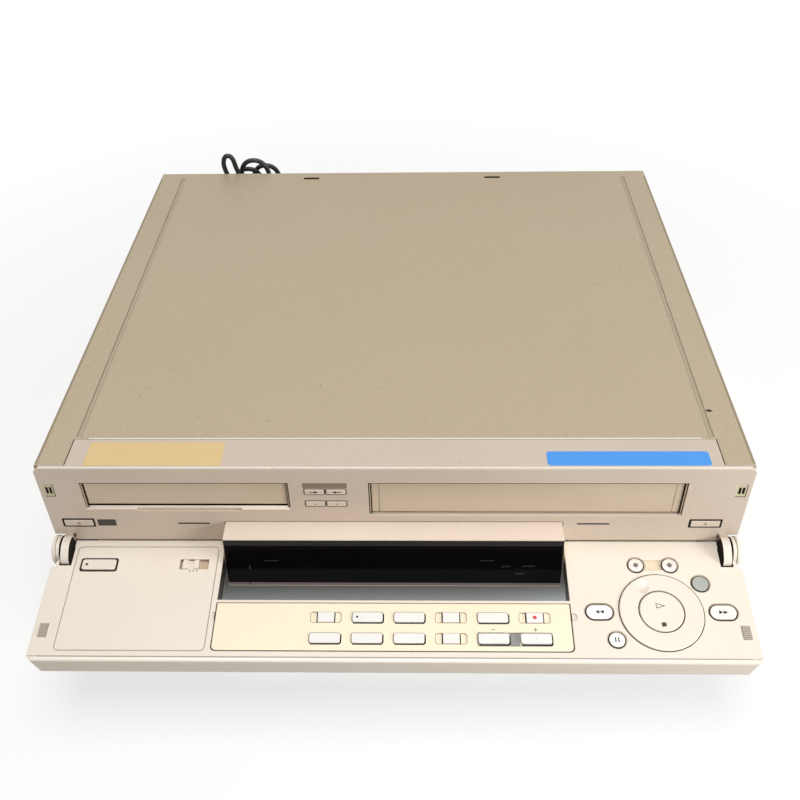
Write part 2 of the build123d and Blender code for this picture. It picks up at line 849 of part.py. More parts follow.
def make_flap_shell():
    top, floor = flap_face_rise, flap_floor
    shell = block(-half_width, half_width, -flap_reach, -flap_body_reach, floor, top)
    shell += block(-notch_inner_x, notch_inner_x, -flap_body_reach - 1, -flap_lip_reach, top - flap_lip_wall, top)
    upper = [e for e in shell.edges().filter_by(Axis.X)
             if abs(e.center().Y + flap_reach) < 0.01 and abs(e.center().Z - top) < 0.01]
    shell = fillet(upper, flap_edge_radius)
    low = [e for e in shell.edges().filter_by(Axis.Y)
           if abs(abs(e.center().X) - half_width) < 0.01 and abs(e.center().Z - floor) < 0.01]
    shell = chamfer(low, flap_low_edge)
    for wedge in corner_bevels(0):
        shell -= wedge

    for s in (-1, 1):
        shell -= block(s * ear_outer_x, s * (half_width + 1), -ear_front, 20, floor - 1, top + 1)
        shell += cross_rod(s * notch_outer_x, s * ear_outer_x, 0, 0, ear_radius)
        shell += block(s * notch_outer_x, s * ear_outer_x, -notch_reach, 0, -ear_radius + 2, top)
        shell += cross_rod(s * notch_outer_x, s * half_width, 0, 0, ear_radius - cap_groove_depth)
        cap = cross_rod(s * cap_inner_x, s * half_width, 0, 0, cap_radius)
        rim = [e for e in cap.edges() if abs(abs(e.center().X) - half_width) < 0.01]
        shell += fillet(rim, cap_edge)
    shell -= flap_inner(0, floor - 1, top - flap_skin)
    for s in (-1, 1):
        shell -= block(s * notch_inner_x, s * notch_outer_x, -notch_reach, 20, floor - 2, top + 12)
        bore = hinge_pin_radius + pin_clearance
        shell -= cross_rod(s * (notch_outer_x - 1), s * (cap_inner_x + 0.6), 0, 0, bore)
    shell -= block(-cutout_half, cutout_half, -cutout_reach, 20, floor - 2, top + 2)

    window_half = cutout_half
    panel_back = cutout_reach + rim_width
    middle = (panel_back + panel_end_reach) / 2
    length = panel_end_reach - panel_back
    seat = top - panel_drop - panel_wall
    shell += block(-window_half - 1, window_half + 1, -panel_end_reach - 1, -panel_back + 0.5, seat - ledge_wall,
                   top - flap_skin)
    shell -= tablet(0, -middle, 2 * (window_half - ledge), length - 2 * ledge, panel_corner, floor, top + 1)
    shell -= panel_outline(0, seat, top + 1)
    for s in (-1, 1):
        shell -= rod(s * (window_half + pivot_offset), -pivot_reach, pivot_radius, top - 0.8, top + 1)

    for name, x, reach, width, length, corner, play in long_controls():
        shell -= tablet(x, -reach, width + 2 * key_play, length + 2 * key_play, corner, top - flap_skin - 1, top + 1)
        if name != "power_button":
            shell -= tablet(x, -reach, width + 2 * dish_margin, length + 2 * dish_margin, length / 2 + dish_margin - 0.01,
                            top - dish_depth, top + 1)
    for _, x, reach, radius in round_controls():
        shell -= rod(x, -reach, radius + key_play, top - flap_skin - 1, top + 1)
        shell -= rod(x, -reach, radius + dish_margin, top - dish_depth, top + 1)
    shell -= block(select_x[0], select_x[1], -select_reach - bridge_length / 2, -select_reach + bridge_length / 2,
                   top - dish_depth, top + 1)

    pocket_floor = top - switch_depth
    shell += block(switch_x - switch_width / 2 - 2, switch_x + switch_width / 2 + 2, -switch_reach - switch_length / 2 - 2,
                   -switch_reach + switch_length / 2 + 2, pocket_floor - switch_floor, top - flap_skin)
    shell -= block(switch_x - switch_width / 2, switch_x + switch_width / 2, -switch_reach - switch_length / 2,
                   -switch_reach + switch_length / 2, pocket_floor, top + 1)
    slot_end = knob_start_x + 2 * knob_step + knob_stem / 2 + knob_play
    shell -= block(knob_start_x - knob_stem / 2 - knob_play, slot_end, -switch_reach - knob_stem / 2 - knob_play,
                   -switch_reach + knob_stem / 2 + knob_play, pocket_floor - switch_floor - 1, top)

    hole = ring_radius + ring_play
    shell += rod(ring_x, -ring_reach, hole + cup_wall, cup_rise, top - flap_skin)
    shell -= rod(ring_x, -ring_reach, hole, cup_rise + cup_wall, top + 1)
    shell += rod(ring_x, -ring_reach, hub_radius, cup_rise, hub_top_rise)
    shell -= rod(ring_x, -ring_reach, hub_bore, cup_rise + cup_wall, hub_top_rise + 1)

    x, y = (outline_left + outline_right) / 2, -(outline_front + outline_back) / 2
    width, length = outline_right - outline_left, outline_front - outline_back
    line = [tablet(x, y, width + grow, length + grow, outline_corner, top - outline_depth, top + 1)
            for grow in (outline_width, -outline_width)]
    shell -= line[0] - line[1]
    shell -= block(-half_width - 1, half_width + 1, -edge_line_reach - outline_width / 2,
                   -edge_line_reach + outline_width / 2, top - outline_depth, top + 1)
    for s in (-1, 1):
        shell -= block(s * pad_x - pad_width / 2, s * pad_x + pad_width / 2, -pad_reach - pad_length / 2,
                       -pad_reach + pad_length / 2, top - pad_depth, top + 1)
    return on_flap(shell)


def make_flap_back():
    back = flap_inner(panel_gap / 2, flap_floor, flap_floor + back_wall)
    places = [(0.0, flap_reach - boss_middle_inset)]
    for s in (-1, 1):
        places.append((s * (half_width - boss_corner_inset), flap_reach - boss_front_inset))
        places.append((s * (half_width - boss_rear_inset), boss_rear_reach))
    for x, reach in places:
        back += rod(x, -reach, boss_radius, flap_floor + back_wall - 0.2, board_rise)
    return on_flap(back)


def make_flap_board():
    board = flap_inner(board_margin, board_rise, board_rise + board_wall)
    switch_top = flap_face_rise - flap_skin - flange_seat - flange_wall - key_travel - switch_play
    places = [(x, reach) for _, x, reach, _ in round_controls()]
    places += [(x, reach) for _, x, reach, _, _, _, _ in long_controls()]
    places += [(x, reach) for _, x, reach, _, _ in panel_keys()]
    for x, reach in places:
        board += Pos(x, -reach, (board_rise + switch_top) / 2) * Box(switch_side, switch_side, switch_top - board_rise)
    board -= rod(ring_x, -ring_reach, ring_radius + ring_play + cup_wall + 0.6, board_rise - 1, board_rise + board_wall + 1)
    stem_end = flap_face_rise - switch_depth - switch_floor - 0.6
    board += block(switch_x - 8, switch_x + 8, -switch_reach - 3, -switch_reach + 3, board_rise, stem_end - switch_play)
    return on_flap(board)


def make_button_panel():
    top = flap_face_rise - panel_drop
    panel = panel_outline(panel_gap, top - panel_wall, top)
    panel -= tablet(channel_x, -channel_reach, channel_width, channel_length, key_corner, top - frame_depth, top + 1)
    for name, x, reach, width, corner in panel_keys():
        if name in short_keys:
            panel -= tablet(x, -reach, key_width, key_length, key_corner, top - frame_depth, top + 1)
        panel -= tablet(x, -reach, width + 2 * key_play, key_length + 2 * key_play, corner, top - panel_wall - 1, top + 1)
    return on_flap(panel)


def make_grip_pads():
    top = flap_face_rise
    pads = [block(s * pad_x - pad_width / 2 + 0.1, s * pad_x + pad_width / 2 - 0.1, -pad_reach - pad_length / 2 + 0.1,
                  -pad_reach + pad_length / 2 - 0.1, top - pad_depth, top + 0.3) for s in (-1, 1)]
    return on_flap(Compound(pads))


def pressed(cap, flange, proud):
    """A key from its cap and flange outlines, given as functions of two heights."""
    under = flap_face_rise - flap_skin - flange_seat
    key = cap(under - flange_wall, flap_face_rise + proud)
    rim = [e for e in key.edges() if abs(e.center().Z - flap_face_rise - proud) < 0.01]
    key = fillet(rim, 0.35)
    return on_flap(key + flange(under - flange_wall, under))


def make_long_key(x, reach, width, length, corner, proud, play):
    def cap(z0, z1):
        shrink = 2 * (play - key_play)
        return tablet(x, -reach, width - shrink, length - shrink, corner, z0, z1)

    def flange(z0, z1):
        grow = 2 * (key_play + flange_lip)
        return tablet(x, -reach, width + grow, length + grow, corner, z0, z1)

    return pressed(cap, flange, proud)


def make_round_key(x, reach, radius):
    def cap(z0, z1):
        return rod(x, -reach, radius, z0, z1)

    def flange(z0, z1):
        return rod(x, -reach, radius + key_play + flange_lip, z0, z1)

    return pressed(cap, flange, low_key_proud)


def make_slide_knob():
    floor = flap_face_rise - switch_depth
    knob = block(knob_start_x - knob_width / 2, knob_start_x + knob_width / 2, -switch_reach - switch_length / 2 + knob_play,
                 -switch_reach + switch_length / 2 - knob_play, floor + 0.1, flap_face_rise + 0.4)
    knob -= block(knob_start_x - 1.6, knob_start_x + 2.2, -switch_reach - 5, -switch_reach + 5,
                  flap_face_rise - 0.8, flap_face_rise + 1)
    knob += block(knob_start_x - knob_stem / 2, knob_start_x + knob_stem / 2, -switch_reach - knob_stem / 2,
                  -switch_reach + knob_stem / 2, floor - switch_floor - 0.6, floor + 0.5)
    return on_flap(knob)


def make_shuttle_ring():
    top = flap_face_rise + ring_proud
    ring = rod(0, 0, ring_radius, ring_foot_rise, top)
    outer = [e for e in ring.edges() if abs(e.center().Z - top) < 0.01]
    ring = fillet(outer, 0.7)
    ring -= rod(0, 0, hub_radius + hub_play, ring_foot_rise - 1, top + 1)
    ring -= rod(0, 0, ring_inner, ring_step_rise, top + 1)
    ring -= Pos(dimple_x, dimple_y, top - dimple_depth + dimple_sphere) * Sphere(dimple_sphere)
    return on_flap(Pos(ring_x, -ring_reach, 0) * ring)


def make_play_disc():
    top = flap_face_rise + disc_proud
    disc = rod(0, 0, disc_radius, disc_under_rise, top)
    outer = [e for e in disc.edges() if abs(e.center().Z - top) < 0.01]
    disc = fillet(outer, 0.6)
    disc += rod(0, 0, stem_radius, cup_rise + cup_wall + stem_play, disc_under_rise)
    return on_flap(Pos(ring_x, -ring_reach, 0) * disc)


def make_deck_plate(x, width, plate_z, depth, drum_radius, drum_height, tilt, drum_back):
    """A plate on four legs, with the lower drum and its shaft standing on it."""
    left, right = x - plate_margin, x + width + plate_margin
    back = cage_front + depth + drum_back + drum_radius
    plate = block(left, right, cage_front, back, plate_z, plate_z + plate_wall)
    legs = [block(lx, lx + leg_side, ly, ly + leg_side, chassis_top, plate_z)
            for lx in (left, right - leg_side) for ly in (cage_front, back - leg_side)]
    drum_place = Pos(x + width / 2, cage_front + depth + drum_back, plate_z + plate_wall)
    foot = rod(0, 0, drum_radius, -1.0 - drum_radius * tan(radians(tilt)), drum_height)
    shaft = rod(0, 0, drum_shaft, 0, 2 * drum_height)
    lower = Rot(tilt, 0, 0) * (foot + shaft)
    return joined(plate, legs) + drum_place * lower


def make_drum(x, width, plate_z, depth, drum_radius, drum_height, tilt, drum_back):
    """The turning upper drum, with its bore for the shaft and a rotor cap."""
    drum_place = Pos(x + width / 2, cage_front + depth + drum_back, plate_z + plate_wall)
    low = drum_height + drum_gap
    drum = rod(0, 0, drum_radius, low, 2 * drum_height)
    drum += rod(0, 0, drum_radius * 0.55, 2 * drum_height, 2 * drum_height + 3)
    drum -= rod(0, 0, drum_shaft + shaft_clearance, low - 1, 2 * drum_height + 0.5)
    return drum_place * Rot(tilt, 0, 0) * drum


def make_cage(x, width, height, depth, plate_z):
    """A cassette carriage: floor, two side plates on the deck plate, rails over the cassette's edges."""
    bottom = slot_top - height
    front, back = cage_front, cage_front + depth
    floor = block(x - cage_wall, x + width + cage_wall, front, back, bottom - cage_wall, bottom)
    sides = []
    for edge, inward in ((x, 1), (x + width, -1)):
        out = edge - inward * cage_wall
        sides.append(block(edge, out, front, back, plate_z + plate_wall, slot_top + cage_wall))
        sides.append(block(out, edge + inward * cage_rail, front, back, slot_top, slot_top + cage_wall))
    return joined(floor, sides)


def make_board(left, width, blocks):
    """A circuit board with its larger components."""
    board = block(left, left + width, main_board_y, main_board_y + main_board_depth, board_z, board_z + pcb)
    top = board_z + pcb
    for across, along, w, length, height in blocks:
        x, y = left + across * width, main_board_y + along * main_board_depth
        board += block(x - w / 2, x + w / 2, y - length / 2, y + length / 2, top - 0.2, top + height)
    return board


def make_power_supply():
    supply = make_board(supply_x, supply_width, supply_blocks)
    top = board_z + pcb
    for across, along in capacitor_places:
        x, y = supply_x + across * supply_width, main_board_y + along * main_board_depth
        supply += rod(x, y, capacitor_radius, top - 0.2, top + capacitor_height)
    return supply


def jack_places():
    return [(jack_x + i * jack_pitch_x, jack_z + j * jack_pitch_z)
            for i in range(jack_columns) for j in range(jack_rows)]


def socket_places():
    return [(socket_x, jack_z + j * jack_pitch_z) for j in range(jack_rows)]


def make_rear_panel():
    side = half_width - sheet - seam
    panel = block(-side, side, rear_plane - chassis_wall, rear_plane, case_bottom, case_top - sheet - seam)
    for x, z in jack_places():
        panel -= back_rod(x, z, jack_radius + hole_clearance, rear_plane - 5, rear_plane + 1)
    for x, z in socket_places():
        panel -= back_rod(x, z, socket_radius + hole_clearance, rear_plane - 5, rear_plane + 1)
    for z in aerial_z:
        panel -= back_rod(aerial_x, z, aerial_radius + hole_clearance, rear_plane - 5, rear_plane + 1)
    panel -= back_rod(gland_x, gland_z, gland_neck_radius, rear_plane - 5, rear_plane + 1)
    for x in rear_screw_x:
        panel -= back_rod(x, case_top - rear_screw_drop, screw_shank_radius, rear_plane - 5, rear_plane + 1)
    return panel


def make_rear_jacks():
    inner = rear_plane - chassis_wall
    low, high = jack_z - 9, jack_z + (jack_rows - 1) * jack_pitch_z + 9
    block_left, block_right = jack_x - 9, socket_x + 9
    jacks = block(block_left, block_right, inner - jack_block_depth, inner, low, high)
    for x, z in jack_places():
        jacks += back_rod(x, z, jack_radius, inner - 1, rear_plane + jack_reach)
        jacks -= back_rod(x, z, jack_bore, rear_plane - 4, rear_plane + jack_reach + 1)
    for x, z in socket_places():
        jacks += back_rod(x, z, socket_radius, inner - 1, rear_plane + socket_reach)
        jacks -= back_rod(x, z, socket_radius - 1.4, rear_plane - 3, rear_plane + socket_reach + 1)
        jacks += back_rod(x, z, 1.6, rear_plane - 4, rear_plane + socket_reach - 0.6)
    tuner = block(aerial_x - 14, aerial_x + 14, inner - jack_block_depth, inner, aerial_z[0] - 16, aerial_z[1] + 16)
    for z in aerial_z:
        tuner += back_rod(aerial_x, z, aerial_radius, inner - 1, rear_plane + aerial_reach)
        tuner -= back_rod(aerial_x, z, aerial_bore, rear_plane, rear_plane + aerial_reach + 1)
    return Compound([jacks, tuner])


def make_case_screws():
    screws = []
    for s in (-1, 1):
        for y in flank_screw_y:
            head = cross_rod(s * half_width, s * (half_width + screw_head), y, flank_screw_z, screw_head_radius)
            shank = cross_rod(s * (half_width - screw_length), s * half_width, y, flank_screw_z, screw_shank_radius)
            screws.append(head + shank)
    z = case_top - rear_screw_drop
    for x in rear_screw_x:
        head = back_rod(x, z, screw_head_radius, rear_plane, rear_plane + screw_head)
        shank = back_rod(x, z, screw_shank_radius, rear_plane - screw_length, rear_plane)
        screws.append(head + shank)
    return Compound(screws)


def make_cord_gland():
    tip = rear_plane + gland_length
    gland = back_rod(gland_x, gland_z, gland_neck_radius, rear_plane - 6, rear_plane)
    gland += back_rod(gland_x, gland_z, gland_flange_radius, rear_plane, rear_plane + gland_flange)
    sleeve = Cone(gland_neck_radius, gland_tip_radius, gland_length - gland_flange)
    middle = (rear_plane + gland_flange + tip) / 2
    gland += Pos(gland_x, middle, gland_z) * Rot(-90, 0, 0) * sleeve
    return gland


def arc_radii(points, least=0.0):
    """One radius for each corner: 0.45 of the shorter run over the tangent of half the turn."""
    radii = []
    for before, at, after in zip(points, points[1:], points[2:]):
        first, second = Vector(*at) - Vector(*before), Vector(*after) - Vector(*at)
        turn = radians(first.get_angle(second))
        radii.append(max(least, 0.45 * min(first.length, second.length) / tan(turn / 2)))
    return radii


def tube(points, label):
    """A lead along straight runs and tangent arcs."""
    radii = arc_radii(points)
    path = FilletPolyline(*points, radius=radii)
    section = Plane(origin=path @ 0, z_dir=path % 0) * Circle(lead_d / 2)
    solid = sweep(section, path=path)
    expected = pi * (lead_d / 2) ** 2 * path.length
    print(f"{label}: length {path.length:.1f}, volume {solid.volume:.1f} against {expected:.1f}")
    print(f"{label} radii:", " ".join(f"{r:.1f}" for r in radii))
    return solid, path


def leaning(x, out, up):
    """A point of the hank: across from its tie, out from its nearest layer, and up along its lean."""
    a = radians(lean)
    top_y = case_depth + lead_d / 2 + lean_gap
    y = top_y + (case_top - lead_floor) * tan(a) - up * sin(a) + out * cos(a)
    return (bundle_x + x, y, lead_floor + up * cos(a) + out * sin(a))


def hank_points():
    """The hank's loops, outermost layer first: foot, left leg, top, right leg, each drawn in at the waist."""
    points = []
    layers = len(hank_tops)
    a = radians(lean)
    waist_low, waist_high = waist_rise - waist_length / 2, waist_rise + waist_length / 2
    for i, ((left, right, above), (foot_left, foot_right)) in enumerate(zip(hank_tops, hank_feet)):
        out = (layers - 1 - i) * loop_pitch
        next_out = out - loop_pitch
        width, foot_width = right - left, foot_right - foot_left
        up = (case_top + above - lead_floor) / cos(a)
        shoulder = up - shoulder_drop * width - 6
        down, next_down = -out * tan(a), -next_out * tan(a)
        bulge = 0.1 * width
        rising = [(left - bulge, shoulder)]
        falling = [(right + bulge, shoulder, 0.2)]
        if i == layers - 1:
            rising, falling = long_loop_left, long_loop_right
        points += [
            leaning(foot_left + 1.2, out, down),
            leaning(foot_left - 0.4, out, down + foot_corner_lift * foot_width),
            leaning(-waist_half, out, waist_low),
            leaning(-waist_half - 0.4, out, waist_high),
        ]
        points += [leaning(x, out, height) for x, height in rising]
        points += [leaning(left + bulge, out, up), leaning(right - bulge, out, up)]
        points += [leaning(x, out - shift * loop_pitch, height) for x, height, shift in falling]
        points.append(leaning(waist_half + 0.4, out - 0.45 * loop_pitch, waist_high))
        points.append(leaning(waist_half, out - 0.55 * loop_pitch, waist_low))
        points.append(leaning(foot_right + 0.4, next_out, next_down + foot_corner_lift * foot_width))
        if i < layers - 1:
            points.append(leaning(foot_right - 1.2, next_out, next_down))
    return points


# From the gland to the hank: X, Y and Z, the last ones on a half circle on the surface
lead_start_y = rear_plane + gland_length
turn_offset = 34.0  # from the tie
turn_radius = 36.0
turn_step = turn_radius * tan(radians(22.5))
turn_x = bundle_x + turn_offset
hank_start_y = case_depth + lead_d / 2 + lean_gap + (case_top - lead_floor) * tan(radians(lean)) + (
    len(hank_tops) - 1) * loop_pitch / cos(radians(lean))
turn_y = hank_start_y + turn_radius
lead_points = [
    (gland_x, lead_start_y, gland_z),
    (gland_x, lead_start_y + 20, gland_z),
    (gland_x + 2, lead_start_y + 44, gland_z - 11),
    (gland_x + 9, lead_start_y + 67, lead_floor + 4),
    (gland_x + 26, lead_start_y + 85, lead_floor),
    (gland_x + 52, turn_y + turn_radius + 2, lead_floor),
    (turn_x + turn_step, turn_y + turn_radius, lead_floor),
    (turn_x + turn_radius, turn_y + turn_step, lead_floor),
    (turn_x + turn_radius, turn_y - turn_step, lead_floor),
    (turn_x + turn_step, hank_start_y + 0.16, lead_floor),
]
# From the hank to the plug, along the foot of the rear panel: along X, along Y, and height
tail_offsets = ((30.0, 3.0, 0.0), (66.0, 9.0, 0.6), (92.0, 8.0, 4.5), (106.0, 8.0, 4.5))


def hank_route():
    """The whole hank's points, from the end of the free lead to the plug."""
    foot_right = hank_feet[-1][1]
    corner = leaning(foot_right + 5.0, -loop_pitch, loop_pitch * tan(radians(lean)))
    start = (turn_x, hank_start_y, lead_floor)
    bend = (bundle_x + hank_feet[0][1] - 1.2, hank_start_y - 0.2, lead_floor)
    tail = [(corner[0] + dx, corner[1] + dy, lead_floor + dz) for dx, dy, dz in tail_offsets]
    return [start, bend] + hank_points() + [corner] + tail


def least_gap(path):
    """The least distance between far-apart stretches of the hank, surface to surface."""
    count = int(path.length / 2.5)
    points = [path @ (i / count) for i in range(count + 1)]
    step = path.length / count
    skip = int(5 * lead_d / step)
    best = 1e9
    for i, p in enumerate(points):
        for q in points[i + skip:]:
            best = min(best, hypot(p.X - q.X, p.Y - q.Y, p.Z - q.Z))
    return best - lead_d


def make_lead_and_hank():
    route = hank_route()
    lead_solid, _ = tube(lead_points + [route[0]], "lead")
    hank_solid, hank_path = tube(route, "hank")
    print(f"hank least gap to itself {least_gap(hank_path):.2f}")
    return lead_solid, hank_solid, route


def make_cord_tie():
    out_low = -loop_pitch / 2 - lead_d / 2 - tie_play
    out_high = (len(hank_tops) - 1) * loop_pitch + lead_d / 2 + tie_play
    half = waist_half + lead_d / 2 + 2 * tie_play
    depth = out_high - out_low
    middle = (out_low + out_high) / 2
    ring = extrude(RectangleRounded(2 * half + 2 * tie_wall, depth + 2 * tie_wall, 3.0), tie_height / 2, both=True)
    ring -= extrude(RectangleRounded(2 * half, depth, 2.0), tie_height, both=True)
    x, y, z = leaning(0, middle, waist_rise)
    return Pos(x, y, z) * Rot(lean, 0, 0) * ring


def make_plug(end):
    x, y, z = end
    neck = Pos(x + plug_neck_length / 2, y, z) * Rot(0, 90, 0) * Cone(plug_neck_radius - 0.6, plug_neck_radius + 1.2, plug_neck_length)
    front = x + plug_neck_length + plug_length
    body = block(x + plug_neck_length - 1, front, y - plug_width / 2, y + plug_width / 2,
                 z - plug_thickness / 2, z + plug_thickness / 2)
    ends = [e for e in body.edges().filter_by(Axis.Z)]
    body = fillet(ends, 5.0)
    plug = neck + body
    for s in (-1, 1):
        blade_y = y + s * blade_gap / 2
        plug += block(front - 1, front + blade_length, blade_y - blade_wall / 2, blade_y + blade_wall / 2,
                      z - blade_width / 2, z + blade_width / 2)
    return plug


def make_all():
    """Every piece by its name."""
    lead, hank, route = make_lead_and_hank()
    vhs = (vhs_slot_x, vhs_slot_width, vhs_plate_z, vhs_cage_depth, vhs_drum_radius, vhs_drum_height,
           vhs_drum_tilt, vhs_drum_back)
    dv = (dv_slot_x, dv_slot_width, dv_plate_z, dv_cage_depth, dv_drum_radius, dv_drum_height,
          dv_drum_tilt, dv_drum_back)
    parts = {
        "top_cover": make_top_cover(),
        "bottom_chassis": make_bottom_chassis(),
        "feet": make_feet(),
        "rear_panel": make_rear_panel(),
        "rear_jacks": make_rear_jacks(),
        "case_screws": make_case_screws(),
        "front_fascia": make_front_fascia(),
        "side_windows": make_side_windows(),
        "dv_door": make_door(dv_slot_x, dv_slot_width, dv_door_height, False),
        "vhs_door": make_door(vhs_slot_x, vhs_slot_width, vhs_door_height, True),
        "display_housing": make_display_housing(),
        "display_window": make_display_window(),
        "display_tube": make_display_tube(),
        "lower_front": make_lower_front(),
        "hinge_pins": make_hinge_pins(),
        "flap_shell": make_flap_shell(),
        "flap_back": make_flap_back(),
        "flap_board": make_flap_board(),
        "button_panel": make_button_panel(),
        "grip_pads": make_grip_pads(),
        "slide_knob": make_slide_knob(),
        "shuttle_ring": make_shuttle_ring(),
        "play_stop_disc": make_play_disc(),
        "vhs_deck_plate": make_deck_plate(*vhs),
        "vhs_drum": make_drum(*vhs),
        "vhs_cage": make_cage(vhs_slot_x, vhs_slot_width, vhs_slot_height, vhs_cage_depth, vhs_plate_z),
        "dv_deck_plate": make_deck_plate(*dv),
        "dv_drum": make_drum(*dv),
        "dv_cage": make_cage(dv_slot_x, dv_slot_width, dv_slot_height, dv_cage_depth, dv_plate_z),
        "circuit_boards": Compound([make_board(main_board_x, main_board_width, board_blocks), make_power_supply()]),
        "cord_gland": make_cord_gland(),
        "mains_lead": lead,
        "lead_hank": hank,
        "lead_tie": make_cord_tie(),
        "mains_plug": make_plug(route[-1]),
    }
    for name, x, z, width, height, gap in fascia_buttons():
        parts[name] = make_fascia_button(x, z, width, height, gap)
    for name, x, reach, width, length, corner, play in long_controls():
        proud = key_proud if name == "power_button" else low_key_proud
        parts[name] = make_long_key(x, reach, width, length, corner, proud, play)
    for name, x, reach, radius in round_controls():
        parts[name] = make_round_key(x, reach, radius)
    for name, x, reach, width, corner in panel_keys():
        parts[name] = make_long_key(x, reach, width, key_length, corner, key_proud - panel_drop, key_play)
    return parts


os.makedirs("parts", exist_ok=True)
for name, shape in make_all().items():
    export_step(Pos(0, -origin_y, 0) * shape, f"parts/{name}.step")
print(f"origin moved back by {origin_y:.3f}; flap reaches {flap_front:.3f} in front of the fascia")
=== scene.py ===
import json
import math

import bmesh
import bpy
import numpy as np
from mathutils import Matrix, Vector

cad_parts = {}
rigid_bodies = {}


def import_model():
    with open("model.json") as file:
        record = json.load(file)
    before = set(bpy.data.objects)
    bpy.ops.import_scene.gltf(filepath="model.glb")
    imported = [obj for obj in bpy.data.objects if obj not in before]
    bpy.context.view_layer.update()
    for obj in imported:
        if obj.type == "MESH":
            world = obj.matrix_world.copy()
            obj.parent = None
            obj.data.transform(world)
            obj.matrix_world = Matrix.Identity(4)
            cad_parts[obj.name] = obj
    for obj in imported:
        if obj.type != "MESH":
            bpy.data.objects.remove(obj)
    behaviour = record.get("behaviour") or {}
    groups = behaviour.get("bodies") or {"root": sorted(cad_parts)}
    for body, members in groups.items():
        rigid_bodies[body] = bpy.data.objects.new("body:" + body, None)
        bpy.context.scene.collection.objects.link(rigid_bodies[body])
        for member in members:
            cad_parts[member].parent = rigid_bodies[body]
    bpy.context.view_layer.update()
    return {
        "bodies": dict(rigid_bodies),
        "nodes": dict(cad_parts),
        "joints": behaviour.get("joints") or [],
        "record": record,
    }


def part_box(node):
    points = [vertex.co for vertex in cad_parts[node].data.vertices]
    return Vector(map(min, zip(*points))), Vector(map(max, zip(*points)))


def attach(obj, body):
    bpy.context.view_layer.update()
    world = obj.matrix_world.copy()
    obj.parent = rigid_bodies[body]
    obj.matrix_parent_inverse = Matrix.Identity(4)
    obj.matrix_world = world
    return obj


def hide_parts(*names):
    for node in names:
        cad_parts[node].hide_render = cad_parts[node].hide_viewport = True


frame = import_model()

nodes = frame["nodes"]
mm = 0.001
# The deck's own places in mm, as in the solids: Y runs back from the fascia's face, Z up from the table.
deck = dict(caseTop=146.0, caseDepth=378.8, rearPlane=376.2, halfWidth=215.0, hingeY=-5.2, hingeZ=79.3,
            tilt=10.25, flapTop=1.1, panelTop=0.9, windowFoot=(-18.70, 63.5), windowHead=(-14.37, 98.4),
            lipY=0.02, lipRun=3.98, dvLip=(110.62, 2.38), vhsLip=(105.72, 0.48))
originY = deck["caseDepth"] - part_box("top_cover")[1][1] / mm  # from the fascia's face back to the origin
print("frame loaded:", len(nodes), "pieces")


# The camera, at the photograph's angle
cameraSpec = dict(lens=43.03, place=(18.50, -406.40, 540.76), pitch=40.062, yaw=1.789, roll=-1.239)


def newObject(name, data):
    made = bpy.data.objects.new(name, data)
    bpy.context.scene.collection.objects.link(made)
    return made


def makeCamera(s):
    data = bpy.data.cameras.new("studioCamera")
    data.lens, data.sensor_width, data.clip_start = s["lens"], 36, 0.01
    camera = newObject("studioCamera", data)
    x, y, z = s["place"]
    matrix = Matrix.Translation(Vector((x, y - originY, z)) * mm)
    for angle, axis in ((s["yaw"], "Z"), (90 - s["pitch"], "X"), (s["roll"], "Z")):
        matrix @= Matrix.Rotation(math.radians(angle), 4, axis)
    camera.matrix_world = matrix
    bpy.context.scene.camera = camera


makeCamera(cameraSpec)


# Colours, nodes and finishes

def colour(text):  # sRGB hex to linear
    values = [int(text[i:i + 2], 16) / 255 for i in (0, 2, 4)]
    return [v / 12.92 if v <= 0.04045 else ((v + 0.055) / 1.055) ** 2.4 for v in values] + [1.0]


def addNode(tree, kind, settings=None, links=None):  # a node, its values, and what feeds its inputs
    node = tree.nodes.new("ShaderNode" + kind)
    for key, value in (settings or {}).items():
        if isinstance(key, int) or key in node.inputs:
            node.inputs[key].default_value = value
        else:
            setattr(node, key, value)
    for key, source in (links or {}).items():
        origin, output = source if isinstance(source, tuple) else (source, 0)
        tree.links.new(origin.outputs[output], node.inputs[key])
    return node


def startMaterial(name):
    material = bpy.data.materials.new(name)
    material.use_nodes = True
    material.node_tree.nodes.clear()
    return material, material.node_tree


# How the patterns are drawn: detail and roughness of each noise, and by the sockets of Map Range, where in a
# pattern's range an effect starts (1) and is full (2), and its most (4)
patternSpec = dict(
    noises={"grain": (2.0, 0.6), "drift": (3.0, 0.5), "rub": (6.0, 0.7)}, rubShare=0.22, bumpShare=0.15,
    middle={1: 0.3, 2: 0.7}, stain={1: 0.42, 2: 0.72}, speck={1: 0.50, 2: 0.62, 4: 0.55}, edge={1: 0.995, 2: 0.75},
    speckColour="4a4032",
)


